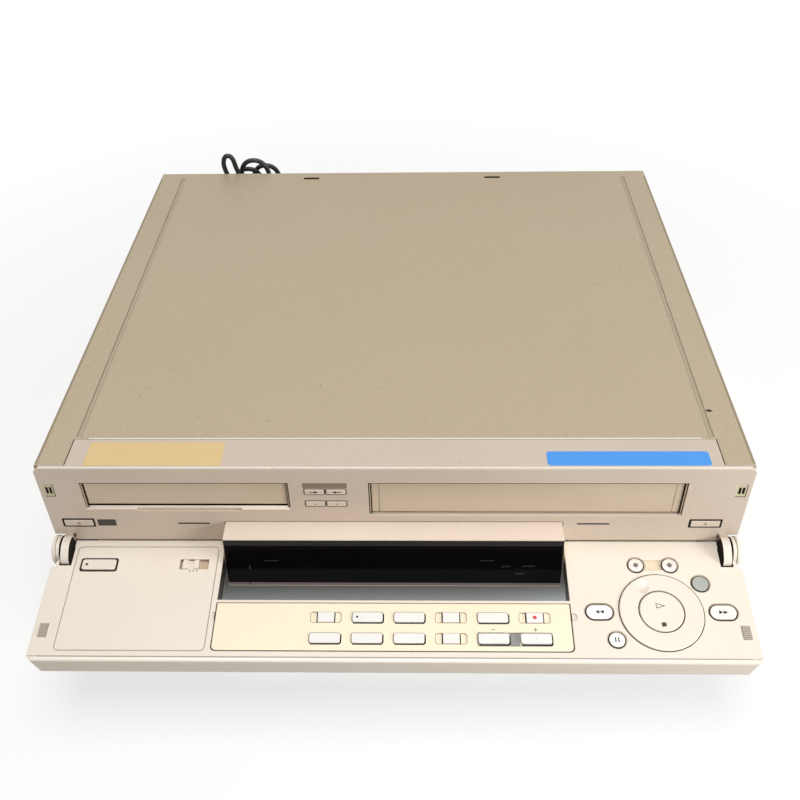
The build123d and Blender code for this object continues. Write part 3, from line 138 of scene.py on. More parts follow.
def grainyFinish(name, spec, pattern=patternSpec):
    # Grain at its real size, a slow drift of tone, worn patches in the gloss, sparse dark specks where the piece has
    # them, and edges that are rounded by their real radius and painted a little lighter, as a highlight and some
    # wear.
    material, tree = startMaterial(name)
    place = addNode(tree, "TexCoord")
    sizes = {"grain": spec["grainMm"], "drift": spec["driftMm"], "rub": spec["driftMm"] * pattern["rubShare"]}
    fields = {}
    for key, (detail, roughness) in pattern["noises"].items():
        settings = {"Scale": 1 / (sizes[key] * mm), "Detail": detail, "Roughness": roughness}
        noise = addNode(tree, "TexNoise", settings, {"Vector": (place, "Object")})
        fields[key] = (noise, "Fac")
    base = np.array(colour(spec["colour"]))
    dark, light = (np.append(np.clip(base[:3] * share, 0, 1), 1).tolist() for share in spec["spread"])
    blend = addNode(tree, "MapRange", pattern["middle"], {0: fields["grain"]})
    tone = addNode(tree, "Mix", {"data_type": "RGBA", 6: dark, 7: light}, {0: blend})
    stain = addNode(tree, "MapRange", {**pattern["stain"], 4: spec["stain"]}, {0: fields["drift"]})
    layers = [(stain, spec["stainColour"])]
    if "specks" in spec:
        pitch, radius = spec["specks"]
        cells = addNode(tree, "TexVoronoi", {"Scale": 1 / (pitch * mm)}, {"Vector": (place, "Object")})
        inside = addNode(tree, "MapRange", {1: 0.5 * radius / pitch, 2: radius / pitch, 3: 1.0, 4: 0.0},
                         {0: (cells, "Distance")})
        sparse = addNode(tree, "MapRange", pattern["speck"], {0: fields["rub"]})
        speck = addNode(tree, "Math", {"operation": "MULTIPLY"}, {0: inside, 1: sparse})
        layers.append((speck, pattern["speckColour"]))
    if "fade" in spec:  # another tone higher up on the piece
        low, high, tint = spec["fade"]
        parts = addNode(tree, "SeparateXYZ", links={"Vector": (place, "Object")})
        fade = addNode(tree, "MapRange", {1: low * mm, 2: high * mm}, {0: (parts, "Z")})
        layers.append((fade, tint))
    soft = None
    # painted highlight, with a little wear: a lighter tone where the Bevel node finds a rounded edge
    if spec["edgeMm"]:
        soft = addNode(tree, "Bevel", {"samples": 4, "Radius": spec["edgeMm"] * mm})
        flat = addNode(tree, "NewGeometry")
        facing = addNode(tree, "VectorMath", {"operation": "DOT_PRODUCT"}, {0: soft, 1: (flat, "Normal")})
        edge = addNode(tree, "MapRange", {**pattern["edge"], 4: spec["edgeHighlightAndWearShare"]}, {0: (facing, "Value")})
        layers.append((edge, spec["edgeHighlightAndWearColour"]))
    for mask, tint in layers:
        tone = addNode(tree, "Mix", {"data_type": "RGBA", 7: colour(tint)}, {0: mask, 6: (tone, 2)})
    ends = {3: spec["rough"][0], 4: spec["rough"][1]}
    rough = addNode(tree, "MapRange", {**pattern["middle"], **ends}, {0: fields["rub"]})
    depth = spec["grainMm"] * pattern["bumpShare"] * mm
    bump = addNode(tree, "Bump", {"Strength": spec["bump"], "Distance": depth}, {"Height": fields["grain"]})
    if soft:
        tree.links.new(soft.outputs[0], bump.inputs["Normal"])
    settings = {"Metallic": spec["metallic"], "IOR": spec["ior"], "Specular IOR Level": spec["specular"]}
    shader = addNode(tree, "BsdfPrincipled", settings,
                     {"Base Color": (tone, 2), "Roughness": rough, "Normal": bump})
    addNode(tree, "OutputMaterial", links={"Surface": shader})
    return material


# What a finish has where it says nothing else: spread is how far the grain goes darker and lighter, stain how much
# of another tone drifts in, rough the two ends of the gloss. Then what groups of finishes share.
usual = dict(spread=(0.95, 1.05), grainMm=0.8, driftMm=50, rough=(0.5, 0.6), bump=0.03, stain=0.0,
             stainColour="8a7a5c", edgeMm=0.0, edgeHighlightAndWearShare=0.35, edgeHighlightAndWearColour="fff4e2", metallic=0.0, ior=1.5,
             specular=0.5)
sprayed = dict(spread=(0.95, 1.04), bump=0.06, metallic=0.2, stain=0.08, edgeHighlightAndWearShare=0.6, edgeHighlightAndWearColour="f6ebdb")
polished = dict(spread=(0.97, 1.03), rough=(0.3, 0.4), metallic=0.1, stain=0.05)
satinAbs = dict(rough=(0.5, 0.58), bump=0.12, edgeMm=0.4, edgeHighlightAndWearShare=0.2, stain=0.05)
openGap = dict(spread=(0.9, 1.1), bump=0.05, specular=0.12)
printAndShadeLine = dict(spread=(0.92, 1.08), grainMm=0.4, driftMm=10, bump=0.02)
shaded = dict(spread=(0.94, 1.06), driftMm=120, rough=(0.45, 0.55), stain=0.05)
glassy = dict(spread=(0.9, 1.1), grainMm=2.0, bump=0.0, ior=1.49)
insulating = dict(grainMm=0.6, driftMm=10, rough=(0.35, 0.45))
finishes = dict(
    # stoved enamel with metal flake on folded steel: satin khaki, finely speckled
    stovedEnamel=dict(colour="bfae93", spread=(0.90, 1.08), grainMm=1.1, driftMm=150, rough=(0.42, 0.52), bump=0.12,
        metallic=0.15, specks=(9.0, 0.9), stain=0.10, stainColour="a8966a", edgeMm=0.6, edgeHighlightAndWearShare=0.5,
        edgeHighlightAndWearColour="efe6d2"),
    # champagne metallic lacquer sprayed on moulded ABS, softer and pinker than the cover; deeper on the doors
    champagneLacquer=dict(sprayed, colour="d4c4b4", driftMm=90, rough=(0.34, 0.44), specks=(14.0, 0.8),
        stainColour="a9967c", edgeMm=0.7),
    doorLacquer=dict(sprayed, colour="d3c0aa", rough=(0.32, 0.42), stainColour="a58f70", edgeMm=0.5),
    # pale ivory lacquer on the flap's mouldings
    ivoryLacquer=dict(colour="ece2d3", spread=(0.965, 1.03), driftMm=90, rough=(0.40, 0.50), bump=0.06,
        metallic=0.05, stain=0.10, stainColour="e6cfae", edgeMm=0.5, edgeHighlightAndWearShare=0.4, edgeHighlightAndWearColour="fff8ea"),
    # pale gold satin film on an aluminium plate
    goldFilm=dict(colour="f3e6ca", spread=(0.975, 1.02), grainMm=0.9, driftMm=70, rough=(0.36, 0.46), bump=0.04,
        metallic=0.08, stain=0.10, stainColour="f2d39c", edgeMm=0.3),
    # cream lacquered ABS keys
    creamKeys=dict(colour="f3f0eb", spread=(0.98, 1.02), grainMm=0.6, driftMm=30, rough=(0.32, 0.40), edgeMm=0.3,
        edgeHighlightAndWearShare=0.2, stain=0.03),
    # pinkish silver lacquer on the turning dial and the disc
    dialLacquer=dict(colour="ebe1d4", spread=(0.97, 1.02), grainMm=0.7, driftMm=40, rough=(0.34, 0.42), bump=0.04,
        metallic=0.08, edgeMm=0.4, stain=0.05),
    # bright silvered lacquer on the small round keys: reflects the light in one soft spot; one key is slate grey
    silveredKeys=dict(colour="ede8e1", spread=(0.97, 1.02), grainMm=0.6, driftMm=20, rough=(0.20, 0.28), bump=0.02,
        metallic=0.35, stain=0.02),
    slateKey=dict(colour="a9ada6", spread=(0.96, 1.04), grainMm=0.6, driftMm=30, rough=(0.28, 0.36), metallic=0.2,
        stain=0.03),
    # painted highlight: lighter copies of the lacquer for the button caps, the display housing and the bright lines
    # on rounded edges
    litCapLacquer=dict(polished, colour="dccdbd", driftMm=60),
    litHousingLacquer=dict(polished, colour="ecdccc", driftMm=120, stain=0.06),
    edgeShine=dict(polished, colour="fff8ec", driftMm=120, rough=(0.22, 0.3), bump=0.02),
    # moulded grey ABS, satin; on the lower front it deepens into brown shade under the flap
    greyAbs=dict(satinAbs, colour="c3cccf"),
    shadedAbs=dict(satinAbs, colour="dbe1e2", fade=(9.0, 27.0, "777574")),
    # painted shade in the unlit gaps round the keys and doors: matt near black, brown where some light gets in; the
    # black is also the rear sockets' own face
    blackAndShade=dict(openGap, colour="1d1713", rough=(0.7, 0.85)),
    shadeBrown=dict(openGap, colour="3f332a", rough=(0.6, 0.75)),
    # painted shade: the enamel darkened in the cover's creases and along its rounded side edges
    coverGrooveShade=dict(shaded, colour="a09079", bump=0.05),
    edgeShade=dict(shaded, colour="98886f"),
    # mouldings inside the openings: tan, also as a painted highlight along the cut-out's rims; painted shade, dark
    # brown, on the sides of the cut-out
    tanMoulding=dict(colour="c9b498", grainMm=0.6, driftMm=30, bump=0.05),
    cheekShade=dict(colour="2a221e", spread=(0.92, 1.08), driftMm=20, rough=(0.35, 0.5), bump=0.05),
    # painted shade: lacquer toned tan in the shallow dishes round the keys, and a film of it on the lower front
    # behind the flap
    recessShadeTan=dict(colour="e6d5b8", spread=(0.96, 1.04), grainMm=0.6, driftMm=20, rough=(0.45, 0.55), stain=0.1),
    # pad-printed ink: flat and slightly uneven; the brown and the soft grey lines are painted shade, round the keys,
    # the switch's pocket, the dishes and along the engravings
    darkInk=dict(printAndShadeLine, colour="2b2523", spread=(0.85, 1.2)),
    brownShadeLine=dict(printAndShadeLine, colour="8c7566", spread=(0.9, 1.1)),
    greyInk=dict(printAndShadeLine, colour="857969"),
    greyShadeLine=dict(printAndShadeLine, colour="b3aa9b"),
    paleInk=dict(printAndShadeLine, colour="f0efe9", spread=(0.95, 1.03)),
    plateInk=dict(printAndShadeLine, colour="37322f", rough=(0.35, 0.45)),
    redInk=dict(printAndShadeLine, colour="d8453b", spread=(0.9, 1.1), rough=(0.45, 0.55)),
    rosyInk=dict(printAndShadeLine, colour="c99a8a", spread=(0.95, 1.05), rough=(0.45, 0.55)),
    channelInk=dict(colour="8f8d8a", grainMm=0.5, driftMm=15, rough=(0.45, 0.55)),
    eyeInk=dict(printAndShadeLine, colour="6a6b6e", spread=(0.9, 1.1), driftMm=6, rough=(0.3, 0.4)),
    # the display's legends behind smoked acrylic: barely lighter than the window
    ghostInk=dict(colour="151316", spread=(0.8, 1.2), grainMm=1.5, driftMm=10, rough=(0.3, 0.4), bump=0.0),
    # self-adhesive film labels, slightly faded
    ochreLabel=dict(colour="e6c990", spread=(0.97, 1.03), driftMm=25, rough=(0.42, 0.52), stain=0.12,
        stainColour="d8b678"),
    skyLabel=dict(colour="4a9df2", spread=(0.97, 1.03), driftMm=25, rough=(0.30, 0.38), bump=0.02, stain=0.06,
        stainColour="6db4ff"),
    # cast acrylic, smoked: polished, near black; a soft grey reflection is painted on its rounded edges, and on its
    # ground bevel by the bevel's film and bright line
    smokedAcrylic=dict(glassy, colour="0a080a", driftMm=80, rough=(0.06, 0.12), edgeMm=0.6, edgeHighlightAndWearShare=0.25,
        edgeHighlightAndWearColour="8a8688", specular=0.04),
    bevelReflectionAcrylic=dict(glassy, colour="17151a", spread=(0.9, 1.15), driftMm=60, rough=(0.2, 0.32), specular=0.3),
    bevelHighlightLine=dict(colour="454348", spread=(0.9, 1.1), grainMm=1.0, driftMm=60, rough=(0.2, 0.3), bump=0.0),
    tubeGlass=dict(glassy, colour="101a1c", driftMm=40, rough=(0.08, 0.12), ior=1.52),
    # moulded yellow-green acrylic in the sensor windows
    limeAcrylic=dict(colour="cec8a3", grainMm=1.0, driftMm=20, rough=(0.2, 0.28), ior=1.49, stain=0.05),
    # bronze-grey metallised trim under the window
    bronzeTrim=dict(colour="6d625f", spread=(0.92, 1.08), driftMm=60, rough=(0.3, 0.4), metallic=0.5),
    # moulded rubber with fine pores: grip pads, their lighter ribs, feet
    padRubber=dict(colour="a3988a", spread=(0.90, 1.06), grainMm=0.6, driftMm=12, rough=(0.6, 0.7), bump=0.2,
        stain=0.05),
    ribRubber=dict(colour="bdb2a4", spread=(0.92, 1.06), grainMm=0.5, driftMm=12, rough=(0.6, 0.7), bump=0.15),
    footRubber=dict(colour="1d1c1b", spread=(0.85, 1.1), driftMm=20, rough=(0.65, 0.8), bump=0.2),
    # zinc-plated sheet: bright, slightly cloudy
    zincPlate=dict(colour="b9bab5", spread=(0.92, 1.05), grainMm=6.0, driftMm=60, rough=(0.28, 0.42), metallic=0.9,
        stain=0.06),
    # blackened steel screws
    blackedSteel=dict(colour="2a2a2b", spread=(0.9, 1.1), driftMm=6, rough=(0.3, 0.4), bump=0.08, metallic=0.8),
    # nickel-plated turned brass
    nickelBrass=dict(colour="c9c6bb", spread=(0.94, 1.04), grainMm=1.5, driftMm=10, rough=(0.2, 0.3), metallic=0.95,
        stain=0.03),
    # turned and ground aluminium drums
    turnedAluminium=dict(colour="d3d4d6", spread=(0.94, 1.04), grainMm=0.9, driftMm=20, rough=(0.25, 0.36),
        bump=0.05, metallic=1.0, stain=0.03),
    # green solder mask over glass-epoxy board
    solderMask=dict(colour="1d5a35", spread=(0.8, 1.2), grainMm=3.0, driftMm=30, rough=(0.3, 0.42), bump=0.08),
    # soft vinyl jacket: near black, dull where it has been handled
    softVinyl=dict(colour="101012", spread=(0.85, 1.1), grainMm=1.2, driftMm=30, rough=(0.34, 0.48), bump=0.12),
    # coloured insulators of the rear jacks
    yellowInsulator=dict(insulating, colour="e2b93a"),
    whiteInsulator=dict(insulating, colour="dcd9d2"),
    redInsulator=dict(insulating, colour="b8322b"),
)
materials = {name: grainyFinish(name, {**usual, **spec}) for name, spec in finishes.items()}

slotFinish = dict(
    cover_paint="stovedEnamel", fascia_plastic="champagneLacquer", door_plastic="doorLacquer",
    flap_plastic="ivoryLacquer", gold_panel="goldFilm", button_plastic="creamKeys",
    silver_plastic="dialLacquer", grey_plastic="greyAbs", dark_window="smokedAcrylic",
    tube_glass="tubeGlass", window_green="limeAcrylic", pad_rubber="padRubber",
    black_rubber="footRubber", zinc_steel="zincPlate", screw_steel="blackedSteel",
    jack_metal="nickelBrass", deck_aluminium="turnedAluminium", board_laminate="solderMask",
    lead_vinyl="softVinyl", tie_vinyl="softVinyl",
)
# the caps and the display housing take the lighter lacquer, a painted highlight
finishNodes = dict(
    litCapLacquer=("dv_eject_button", "vhs_eject_button", "copy_left_button", "copy_right_button", "menu_left_button",
                "menu_right_button"),
    silveredKeys=("dv_select_button", "vhs_select_button", "pause_button", "rewind_button", "forward_button"),
    litHousingLacquer=("display_housing",), slateKey=("jog_mode_button",), dialLacquer=("power_button",),
    shadedAbs=("lower_front",),
)
nodeFinish = {name: finish for finish, names in finishNodes.items() for name in names}
nodeSlot = {s["node"]: s["material_slot"] for s in frame["record"]["subparts"]}
for name, obj in nodes.items():
    for i in range(len(obj.material_slots)):
        obj.material_slots[i].material = materials[nodeFinish.get(name, slotFinish[nodeSlot[name]])]
print("finishes:", len(materials))


# Surfaces that the small pieces lie on: an origin, and the directions to the right, up the surface and out of it

def sloping(y, z, rise, run):  # a surface that starts at a height and climbs to the back
    angle = math.atan2(rise, run)
    return (0, y, z), (1, 0, 0), (0, math.cos(angle), math.sin(angle)), (0, -math.sin(angle), math.cos(angle))


windowRun, windowRise = np.subtract(deck["windowHead"], deck["windowFoot"])
surfaces = {
    "front": ((0, 0, 0), (1, 0, 0), (0, 0, 1), (0, -1, 0)),
    "top": ((0, 0, deck["caseTop"]), (1, 0, 0), (0, 1, 0), (0, 0, 1)),
    "rear": ((0, deck["rearPlane"], 0), (-1, 0, 0), (0, 0, 1), (0, 1, 0)),
    "left": ((-deck["halfWidth"], 0, 0), (0, -1, 0), (0, 0, 1), (-1, 0, 0)),
    "right": ((deck["halfWidth"], 0, 0), (0, 1, 0), (0, 0, 1), (1, 0, 0)),
    "flap": sloping(deck["hingeY"], deck["hingeZ"], math.tan(math.radians(deck["tilt"])), 1),
    "glass": sloping(*deck["windowFoot"], windowRise, windowRun),
    "hinge": ((0, deck["hingeY"], deck["hingeZ"]), (0, -1, 0), (0, 0, 1), (1, 0, 0)),  # seen along the hinge's axis
}
for name in ("dvLip", "vhsLip"):  # the ramps under the doors
    foot, rise = deck[name]
    surfaces[name] = sloping(deck["lipY"], foot, rise, deck["lipRun"])
bothSides = (-1, 1)


def settle(surface, local):  # from a surface's own mm to the frame's metres
    origin, right, up, out = (np.array(v, float) for v in surfaces[surface])
    return (origin + local @ np.stack([right, up, out]) - [0, originY, 0]) * mm


def roundedOutline(width, depth, corner, turns=8):
    # a point runs round four quarter circles: the corner's middle, plus the radius times (cos, sin) of the angle
    corner = min(corner, 0.495 * min(width, depth))  # a short straight is left, so no two points fall together
    quarter = np.repeat(np.arange(4), turns)
    angle = (quarter + np.tile(np.linspace(0, 1, turns), 4)) * math.pi / 2
    across, along = np.array([1, -1, -1, 1])[quarter], np.array([1, 1, -1, -1])[quarter]
    return np.stack([across * (width / 2 - corner) + corner * np.cos(angle),
                     along * (depth / 2 - corner) + corner * np.sin(angle)], axis=1)


def boxed(left, right, low, high, corner):  # a rounded outline, and the middle where it goes
    return roundedOutline(right - left, high - low, corner), ((left + right) / 2, (low + high) / 2)


def ovalOutline(width, depth, turns=48):
    # (cos, sin) of an angle that runs once round, drawn to the two half sizes
    angle = np.linspace(0, 2 * math.pi, turns, endpoint=False)
    return np.stack([width / 2 * np.cos(angle), depth / 2 * np.sin(angle)], axis=1)


def slab(surface, outline, at, low, high, share=1):
    # four rings of the outline, each drawn towards its middle by a share and set at a height: a point, the whole
    # outline at both heights, and a point again, so the slab is closed
    middle = outline.mean(axis=0)
    shares, heights = np.array([0, share, share, 0]), np.array([low, low, high, high])
    flat = np.array(at) + middle + shares[:, None, None] * (outline - middle)
    tall = np.broadcast_to(heights[:, None, None], flat.shape[:2] + (1,))
    return settle(surface, np.concatenate([flat, tall], axis=2))


def layer(surface, outline, at, height=0.0, thickness=0.03):  # printed or stuck on, its foot just in the surface
    return slab(surface, outline, at, height - 0.02, height + thickness)


def band(surface, path, at, width, low, high, closed=True):
    # a flat strip carried along a path: each point is set out to both sides by half the width, along the mean of its
    # two neighbouring sides' normals, and the strip fills the heights from low to high
    path = np.asarray(path, float) + np.array(at)
    steps = np.diff(np.concatenate([path, path[:1]]) if closed else path, axis=0)
    normals = np.stack([steps[:, 1], -steps[:, 0]], axis=1) / np.linalg.norm(steps, axis=1)[:, None]
    before = np.roll(normals, 1, axis=0) if closed else np.concatenate([normals[:1], normals])
    after = normals if closed else np.concatenate([normals, normals[-1:]])
    side = (before + after) / (1 + np.sum(before * after, axis=1))[:, None]
    section = np.array([(-0.5, low), (-0.5, high), (0.5, high), (0.5, low)])
    flat = path[:, None, :] + side[:, None, :] * section[None, :, :1] * width
    grid = np.concatenate([flat, np.broadcast_to(section[None, :, 1:], flat.shape[:2] + (1,))], axis=2)
    return settle(surface, np.concatenate([grid, grid[:1]]) if closed else capped(grid))


def capped(grid):  # both ends drawn together to a point, so the skin is closed
    ends = np.broadcast_to(grid.mean(axis=1, keepdims=True), grid.shape)
    return np.concatenate([ends[:1], grid, ends[-1:]])


def strip(surface, path, width, low, high):  # a band that has two ends
    return band(surface, path, (0, 0), width, low, high, closed=False)


def acrossStrip(surface, reach, y, width, low, high):  # straight, from one side to the other
    return strip(surface, [(-reach, y), (reach, y)], width, low, high)


def sideStrips(surface, x, start, end, width, low, high):  # two straight ones, alike at both sides
    return [strip(surface, [(side * x, start), (side * x, end)], width, low, high) for side in bothSides]


def ring(surface, size, at, width, low, high, turns=48):
    return band(surface, ovalOutline(size, size, turns), at, width, low, high)


def gapRing(surface, size, at, corner, clear, width, low, high):
    # a ring just outside a key: the key's outline grown by the clearance and half the ring's own width
    grow = 2 * clear + width
    return band(surface, roundedOutline(size[0] + grow, size[1] + grow, corner + grow / 2), at, width, low, high)


triangle = np.array([(-0.5, -0.5), (0.5, 0.0), (-0.5, 0.5)])  # points to the right, one unit wide and tall
square = np.array([(-0.5, -0.5), (0.5, -0.5), (0.5, 0.5), (-0.5, 0.5)])


def makePiece(name, grids, place, finish):
    # each grid is a closed skin: its columns run round, and its end rows close on themselves or on each other
    vertices, faces, start = [], [], 0
    for grid in grids:
        rows, columns = grid.shape[:2]
        index = start + np.arange(rows * columns).reshape(rows, columns)
        beside = np.roll(index, -1, axis=1)
        faces.append(np.stack([index[:-1], beside[:-1], beside[1:], index[1:]], axis=-1).reshape(-1, 4))
        vertices.append(grid.reshape(-1, 3))
        start += rows * columns
    mesh = bpy.data.meshes.new(name)
    mesh.from_pydata(np.concatenate(vertices).tolist(), [], np.concatenate(faces).tolist())
    work = bmesh.new()
    work.from_mesh(mesh)
    bmesh.ops.remove_doubles(work, verts=work.verts, dist=2e-7)
    bmesh.ops.dissolve_degenerate(work, edges=work.edges, dist=1e-7)
    bmesh.ops.recalc_face_normals(work, faces=work.faces)
    work.to_mesh(mesh)
    work.free()
    mesh.materials.append(materials[finish])
    piece, (body, slot) = newObject(name, mesh), place
    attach(piece, body)


# What the small pieces move with, and the slot of the surface under them
onCover, onFascia, onWindow = ("deck", "cover_paint"), ("deck", "fascia_plastic"), ("deck", "dark_window")
onFlap, onPanel = ("control_flap", "flap_plastic"), ("control_flap", "gold_panel")
underFlap, overFlap = 0.2, deck["flapTop"] + 0.02  # shaded lines reach from inside the shell to its skin


# The top: bare labels, painted shade in the seams, the groove lines, the two slots and along the side edges, painted
# highlights on the bright edges, and a chip in the enamel.
# Lines along the sides: place, start, end, width, low, high; lines across: half length, place, width, low, high.

topSpec = dict(
    labels={"ochreLabel": (-185.0, -102.3, 2.2, 22.3, 0.8), "skyLabel": (92.4, 189.0, 2.4, 14.5, 2.0)},
    labelThick=0.12, seam=(196.45, 2.9, 25.55, 0.6, -0.3, 0.02), slot=(80.0, 9.5), slotSize=(13.6, 1.8, 0.8),
    lift=0.01, chip=(198.0, 52.0), chipSize=(4.0, 2.6),
    grooves=((192.8, 26.2, 369.0, 0.6, -0.2, 0.015), (195.7, 26.2, 369.0, 0.4, -0.2, 0.015)),
    sideShade=(213.7, 4.0, 369.0, 1.5, -0.3, 0.01), coverShine=(187.6, 26.3, 0.8, -0.1, 0.02),
    fasciaShine=(211.0, 0.95, 1.1, -0.6, -0.02),
)


def makeTopPieces(s):
    for finish, box in s["labels"].items():
        makePiece(finish + "Sheet", [layer("top", *boxed(*box), thickness=s["labelThick"])], onFascia, finish)
    makePiece("coverSeamShade", sideStrips("top", *s["seam"]), onCover, "blackAndShade")
    x, inset = s["slot"]
    slot = roundedOutline(*s["slotSize"])
    slots = [layer("top", slot, (side * x, deck["caseDepth"] - inset), s["lift"]) for side in bothSides]
    makePiece("coverSlotShade", slots, onCover, "blackAndShade")
    chip = layer("top", ovalOutline(*s["chipSize"], 20), s["chip"], s["lift"])
    makePiece("enamelChip", [chip], onCover, "darkInk")
    grooves = [line for groove in s["grooves"] for line in sideStrips("top", *groove)]
    makePiece("coverGrooveLines", grooves, onCover, "coverGrooveShade")
    makePiece("coverEdgeShine", [acrossStrip("top", *s["coverShine"])], onCover, "edgeShine")
    makePiece("coverSideShade", sideStrips("top", *s["sideShade"]), onCover, "edgeShade")
    makePiece("fasciaEdgeShine", [acrossStrip("top", *s["fasciaShine"])], onFascia, "edgeShine")


makeTopPieces(topSpec)


# The doors' gaps: tan strips, and painted shade behind them, on the ramps and above the doors. Each door is its
# left, right, lower and upper edge; strips are width, low and high.

doorSpec = dict(
    doors={"dvLip": (-189.9, -63.0, 110.6, 133.3), "vhsLip": (-14.6, 177.1, 105.7, 133.3)}, gap=1.8, endGap=0.3,
    strip=(0.5, -1.0, -0.6), back=(1.55, -1.6, -1.3), lipY=3.3, lipIn=0.4, lipShade=(1.5, -0.02, 0.04),
    topOut=(0.2, 0.1), topShade=(0.45, -0.02, 0.02),
)


def makeDoorGaps(s):
    strips, backs, tops = [], [], []
    for lip, (left, right, low, high) in s["doors"].items():
        for x in (left + s["gap"] / 2, right - s["gap"] / 2):
            upright = [(x, low + s["endGap"]), (x, high - s["endGap"])]
            strips.append(strip("front", upright, *s["strip"]))
            backs.append(strip("front", upright, *s["back"]))
        backs.append(strip(lip, [(left + s["lipIn"], s["lipY"]), (right - s["lipIn"], s["lipY"])], *s["lipShade"]))
        out, up = s["topOut"]
        tops.append(strip("front", [(left - out, high + up), (right + out, high + up)], *s["topShade"]))
    makePiece("doorTopShade", tops, onFascia, "shadeBrown")
    makePiece("doorGapStrips", strips, onFascia, "tanMoulding")
    makePiece("doorGapShade", backs, onFascia, "blackAndShade")


makeDoorGaps(doorSpec)


# The fascia: painted shade in the gaps round the buttons, beside and above the display, round the sensor windows and
# on the lower front behind the flap; indicator bars, the dark plate, sensor windows, button marks.
# Gaps: how far the corner is rounded, clearance, width, low, high.

fasciaSpec = dict(
    ejects={"dv_eject_button": (-197.5, 98.7), "vhs_eject_button": (192.9, 98.7)}, ejectCap=(17.8, 4.8),
    ejectGap=(-0.5, 0.12, 1.25, -0.5, 0.03), pairGap=(0.0, 0.02, 0.62, -0.5, 0.02),
    pairShade=(0.55, 0.6, -0.02, 0.025), wedge=((-1.2, -0.2), (1.2, -0.2), (0.0, 1.1)), wedgeBar=(2.4, 0.45),
    wedgeDrop=0.75, arrowHead=(2.4, 2.0), arrowBar=(3.6, 0.6), arrowHalf=1.2, dotSize=0.9,
    pairs={"copy_left_button": (-47.4, 126.4), "copy_right_button": (-34.2, 126.4),
           "menu_left_button": (-47.4, 116.1), "menu_right_button": (-34.2, 116.1)}, pairCap=(11.7, 3.9),
    proud=0.6, plate=(-185.5, -173.9, 96.0, 101.6, 0.5), bars=((-125.0, 98.2), (124.0, 98.2)),
    barSize=(20.0, 1.3, 0.3), labelBand=(-40.85, 131.5), labelSize=(27.0, 4.2, 0.4), window=(209.3, 127.3),
    windowSize=(6.0, 10.2), windowSlots=(-1.1, 1.1), slotSize=(1.5, 5.4, 0.5), slotSink=0.05, armSlit=(202.4, 87.6),
    armSlitSize=(0.8, 3.4, 0.35), displayEnds=(105.25, 83.2, 99.2, 0.8, -0.02, 0.02),
    displayTop=(105.25, 100.0, 0.4, -0.02, 0.02), behind=(153.5, 68.25), behindSize=(82.0, 8.5), behindDepth=11.0,
)


def makeFasciaPieces(s):
    gaps = [gapRing("front", s["ejectCap"], at, *s["ejectGap"]) for at in s["ejects"].values()]
    lines = [gapRing("front", s["pairCap"], at, *s["pairGap"]) for at in s["pairs"].values()]
    below, *section = s["pairShade"]
    half, low = s["pairCap"][0] / 2, s["pairCap"][1] / 2 + below
    lines += [strip("front", [(x - half, z - low), (x + half, z - low)], *section) for x, z in s["pairs"].values()]
    lines += sideStrips("front", *s["displayEnds"])
    lines.append(acrossStrip("front", *s["displayTop"]))
    makePiece("ejectGapShade", gaps, onFascia, "blackAndShade")
    makePiece("fasciaGapShade", lines, onFascia, "shadeBrown")
    makePiece("darkPlate", [layer("front", *boxed(*s["plate"]), thickness=0.08)], onFascia, "plateInk")
    bars = [layer("front", roundedOutline(*s["barSize"]), at, thickness=0.05) for at in s["bars"]]
    makePiece("indicatorBars", bars, onFascia, "darkInk")
    labelBand = layer("front", roundedOutline(*s["labelSize"]), s["labelBand"], thickness=0.01)
    makePiece("pairLabelBand", [labelBand], onFascia, "greyInk")
    slots, rims, slot = [], [], roundedOutline(*s["slotSize"])
    width, height = np.array(s["windowSize"]) / 2
    for side in bothSides:
        x, z = side * s["window"][0], s["window"][1]
        slots += [layer("front", slot, (x + offset, z), -s["slotSink"]) for offset in s["windowSlots"]]
        rim = [(x - width, z - height), (x + width, z - height), (x + width, z + height)]
        rims.append(strip("front", rim, 0.4, -0.3, 0.02))
    makePiece("sensorSlots", slots, ("deck", "window_green"), "blackAndShade")
    makePiece("sensorRims", rims, onFascia, "shadeBrown")
    (slitX, slitZ), (farX, farZ) = s["armSlit"], s["behind"]
    slits = [layer("front", roundedOutline(*s["armSlitSize"]), (side * slitX, slitZ)) for side in bothSides]
    makePiece("armSlits", slits, onFascia, "blackAndShade")
    # painted shade: a tan film on the lower front, behind the flap
    behind = [layer("front", square * s["behindSize"], (side * farX, farZ), -s["behindDepth"], 0.05)
              for side in bothSides]
    makePiece("lowerFrontShadeFilm", behind, ("deck", "grey_plastic"), "recessShadeTan")


def makeFasciaMarks(s):  # each mark: its ending, its ink, and its shapes with their offsets
    eject = [(np.array(s["wedge"]), 0, 0), (square * s["wedgeBar"], 0, -s["wedgeDrop"])]
    marks = {name: ("Mark", "greyInk", eject) for name in s["ejects"]}
    for name, way in (("copy_left_button", 1), ("copy_right_button", -1)):
        half = s["arrowHalf"] * way
        marks[name] = ("Arrow", "darkInk", [(triangle * s["arrowHead"] * [way, 1], half, 0),
                                            (square * s["arrowBar"], -half, 0)])
    for name in ("menu_left_button", "menu_right_button"):
        marks[name] = ("Dot", "darkInk", [(ovalOutline(s["dotSize"], s["dotSize"], 16), 0, 0)])
    places = {**s["ejects"], **s["pairs"]}
    for name, (ending, finish, shapes) in marks.items():
        x, z = places[name]
        grids = [layer("front", shape, (x + right, z + up), s["proud"]) for shape, right, up in shapes]
        makePiece(name + ending, grids, (name, "door_plastic"), finish)


# The hinge arms: a skin round each and the straight bars, both in the lighter dial lacquer as a painted highlight,
# and painted shade in the dark gaps at their sides

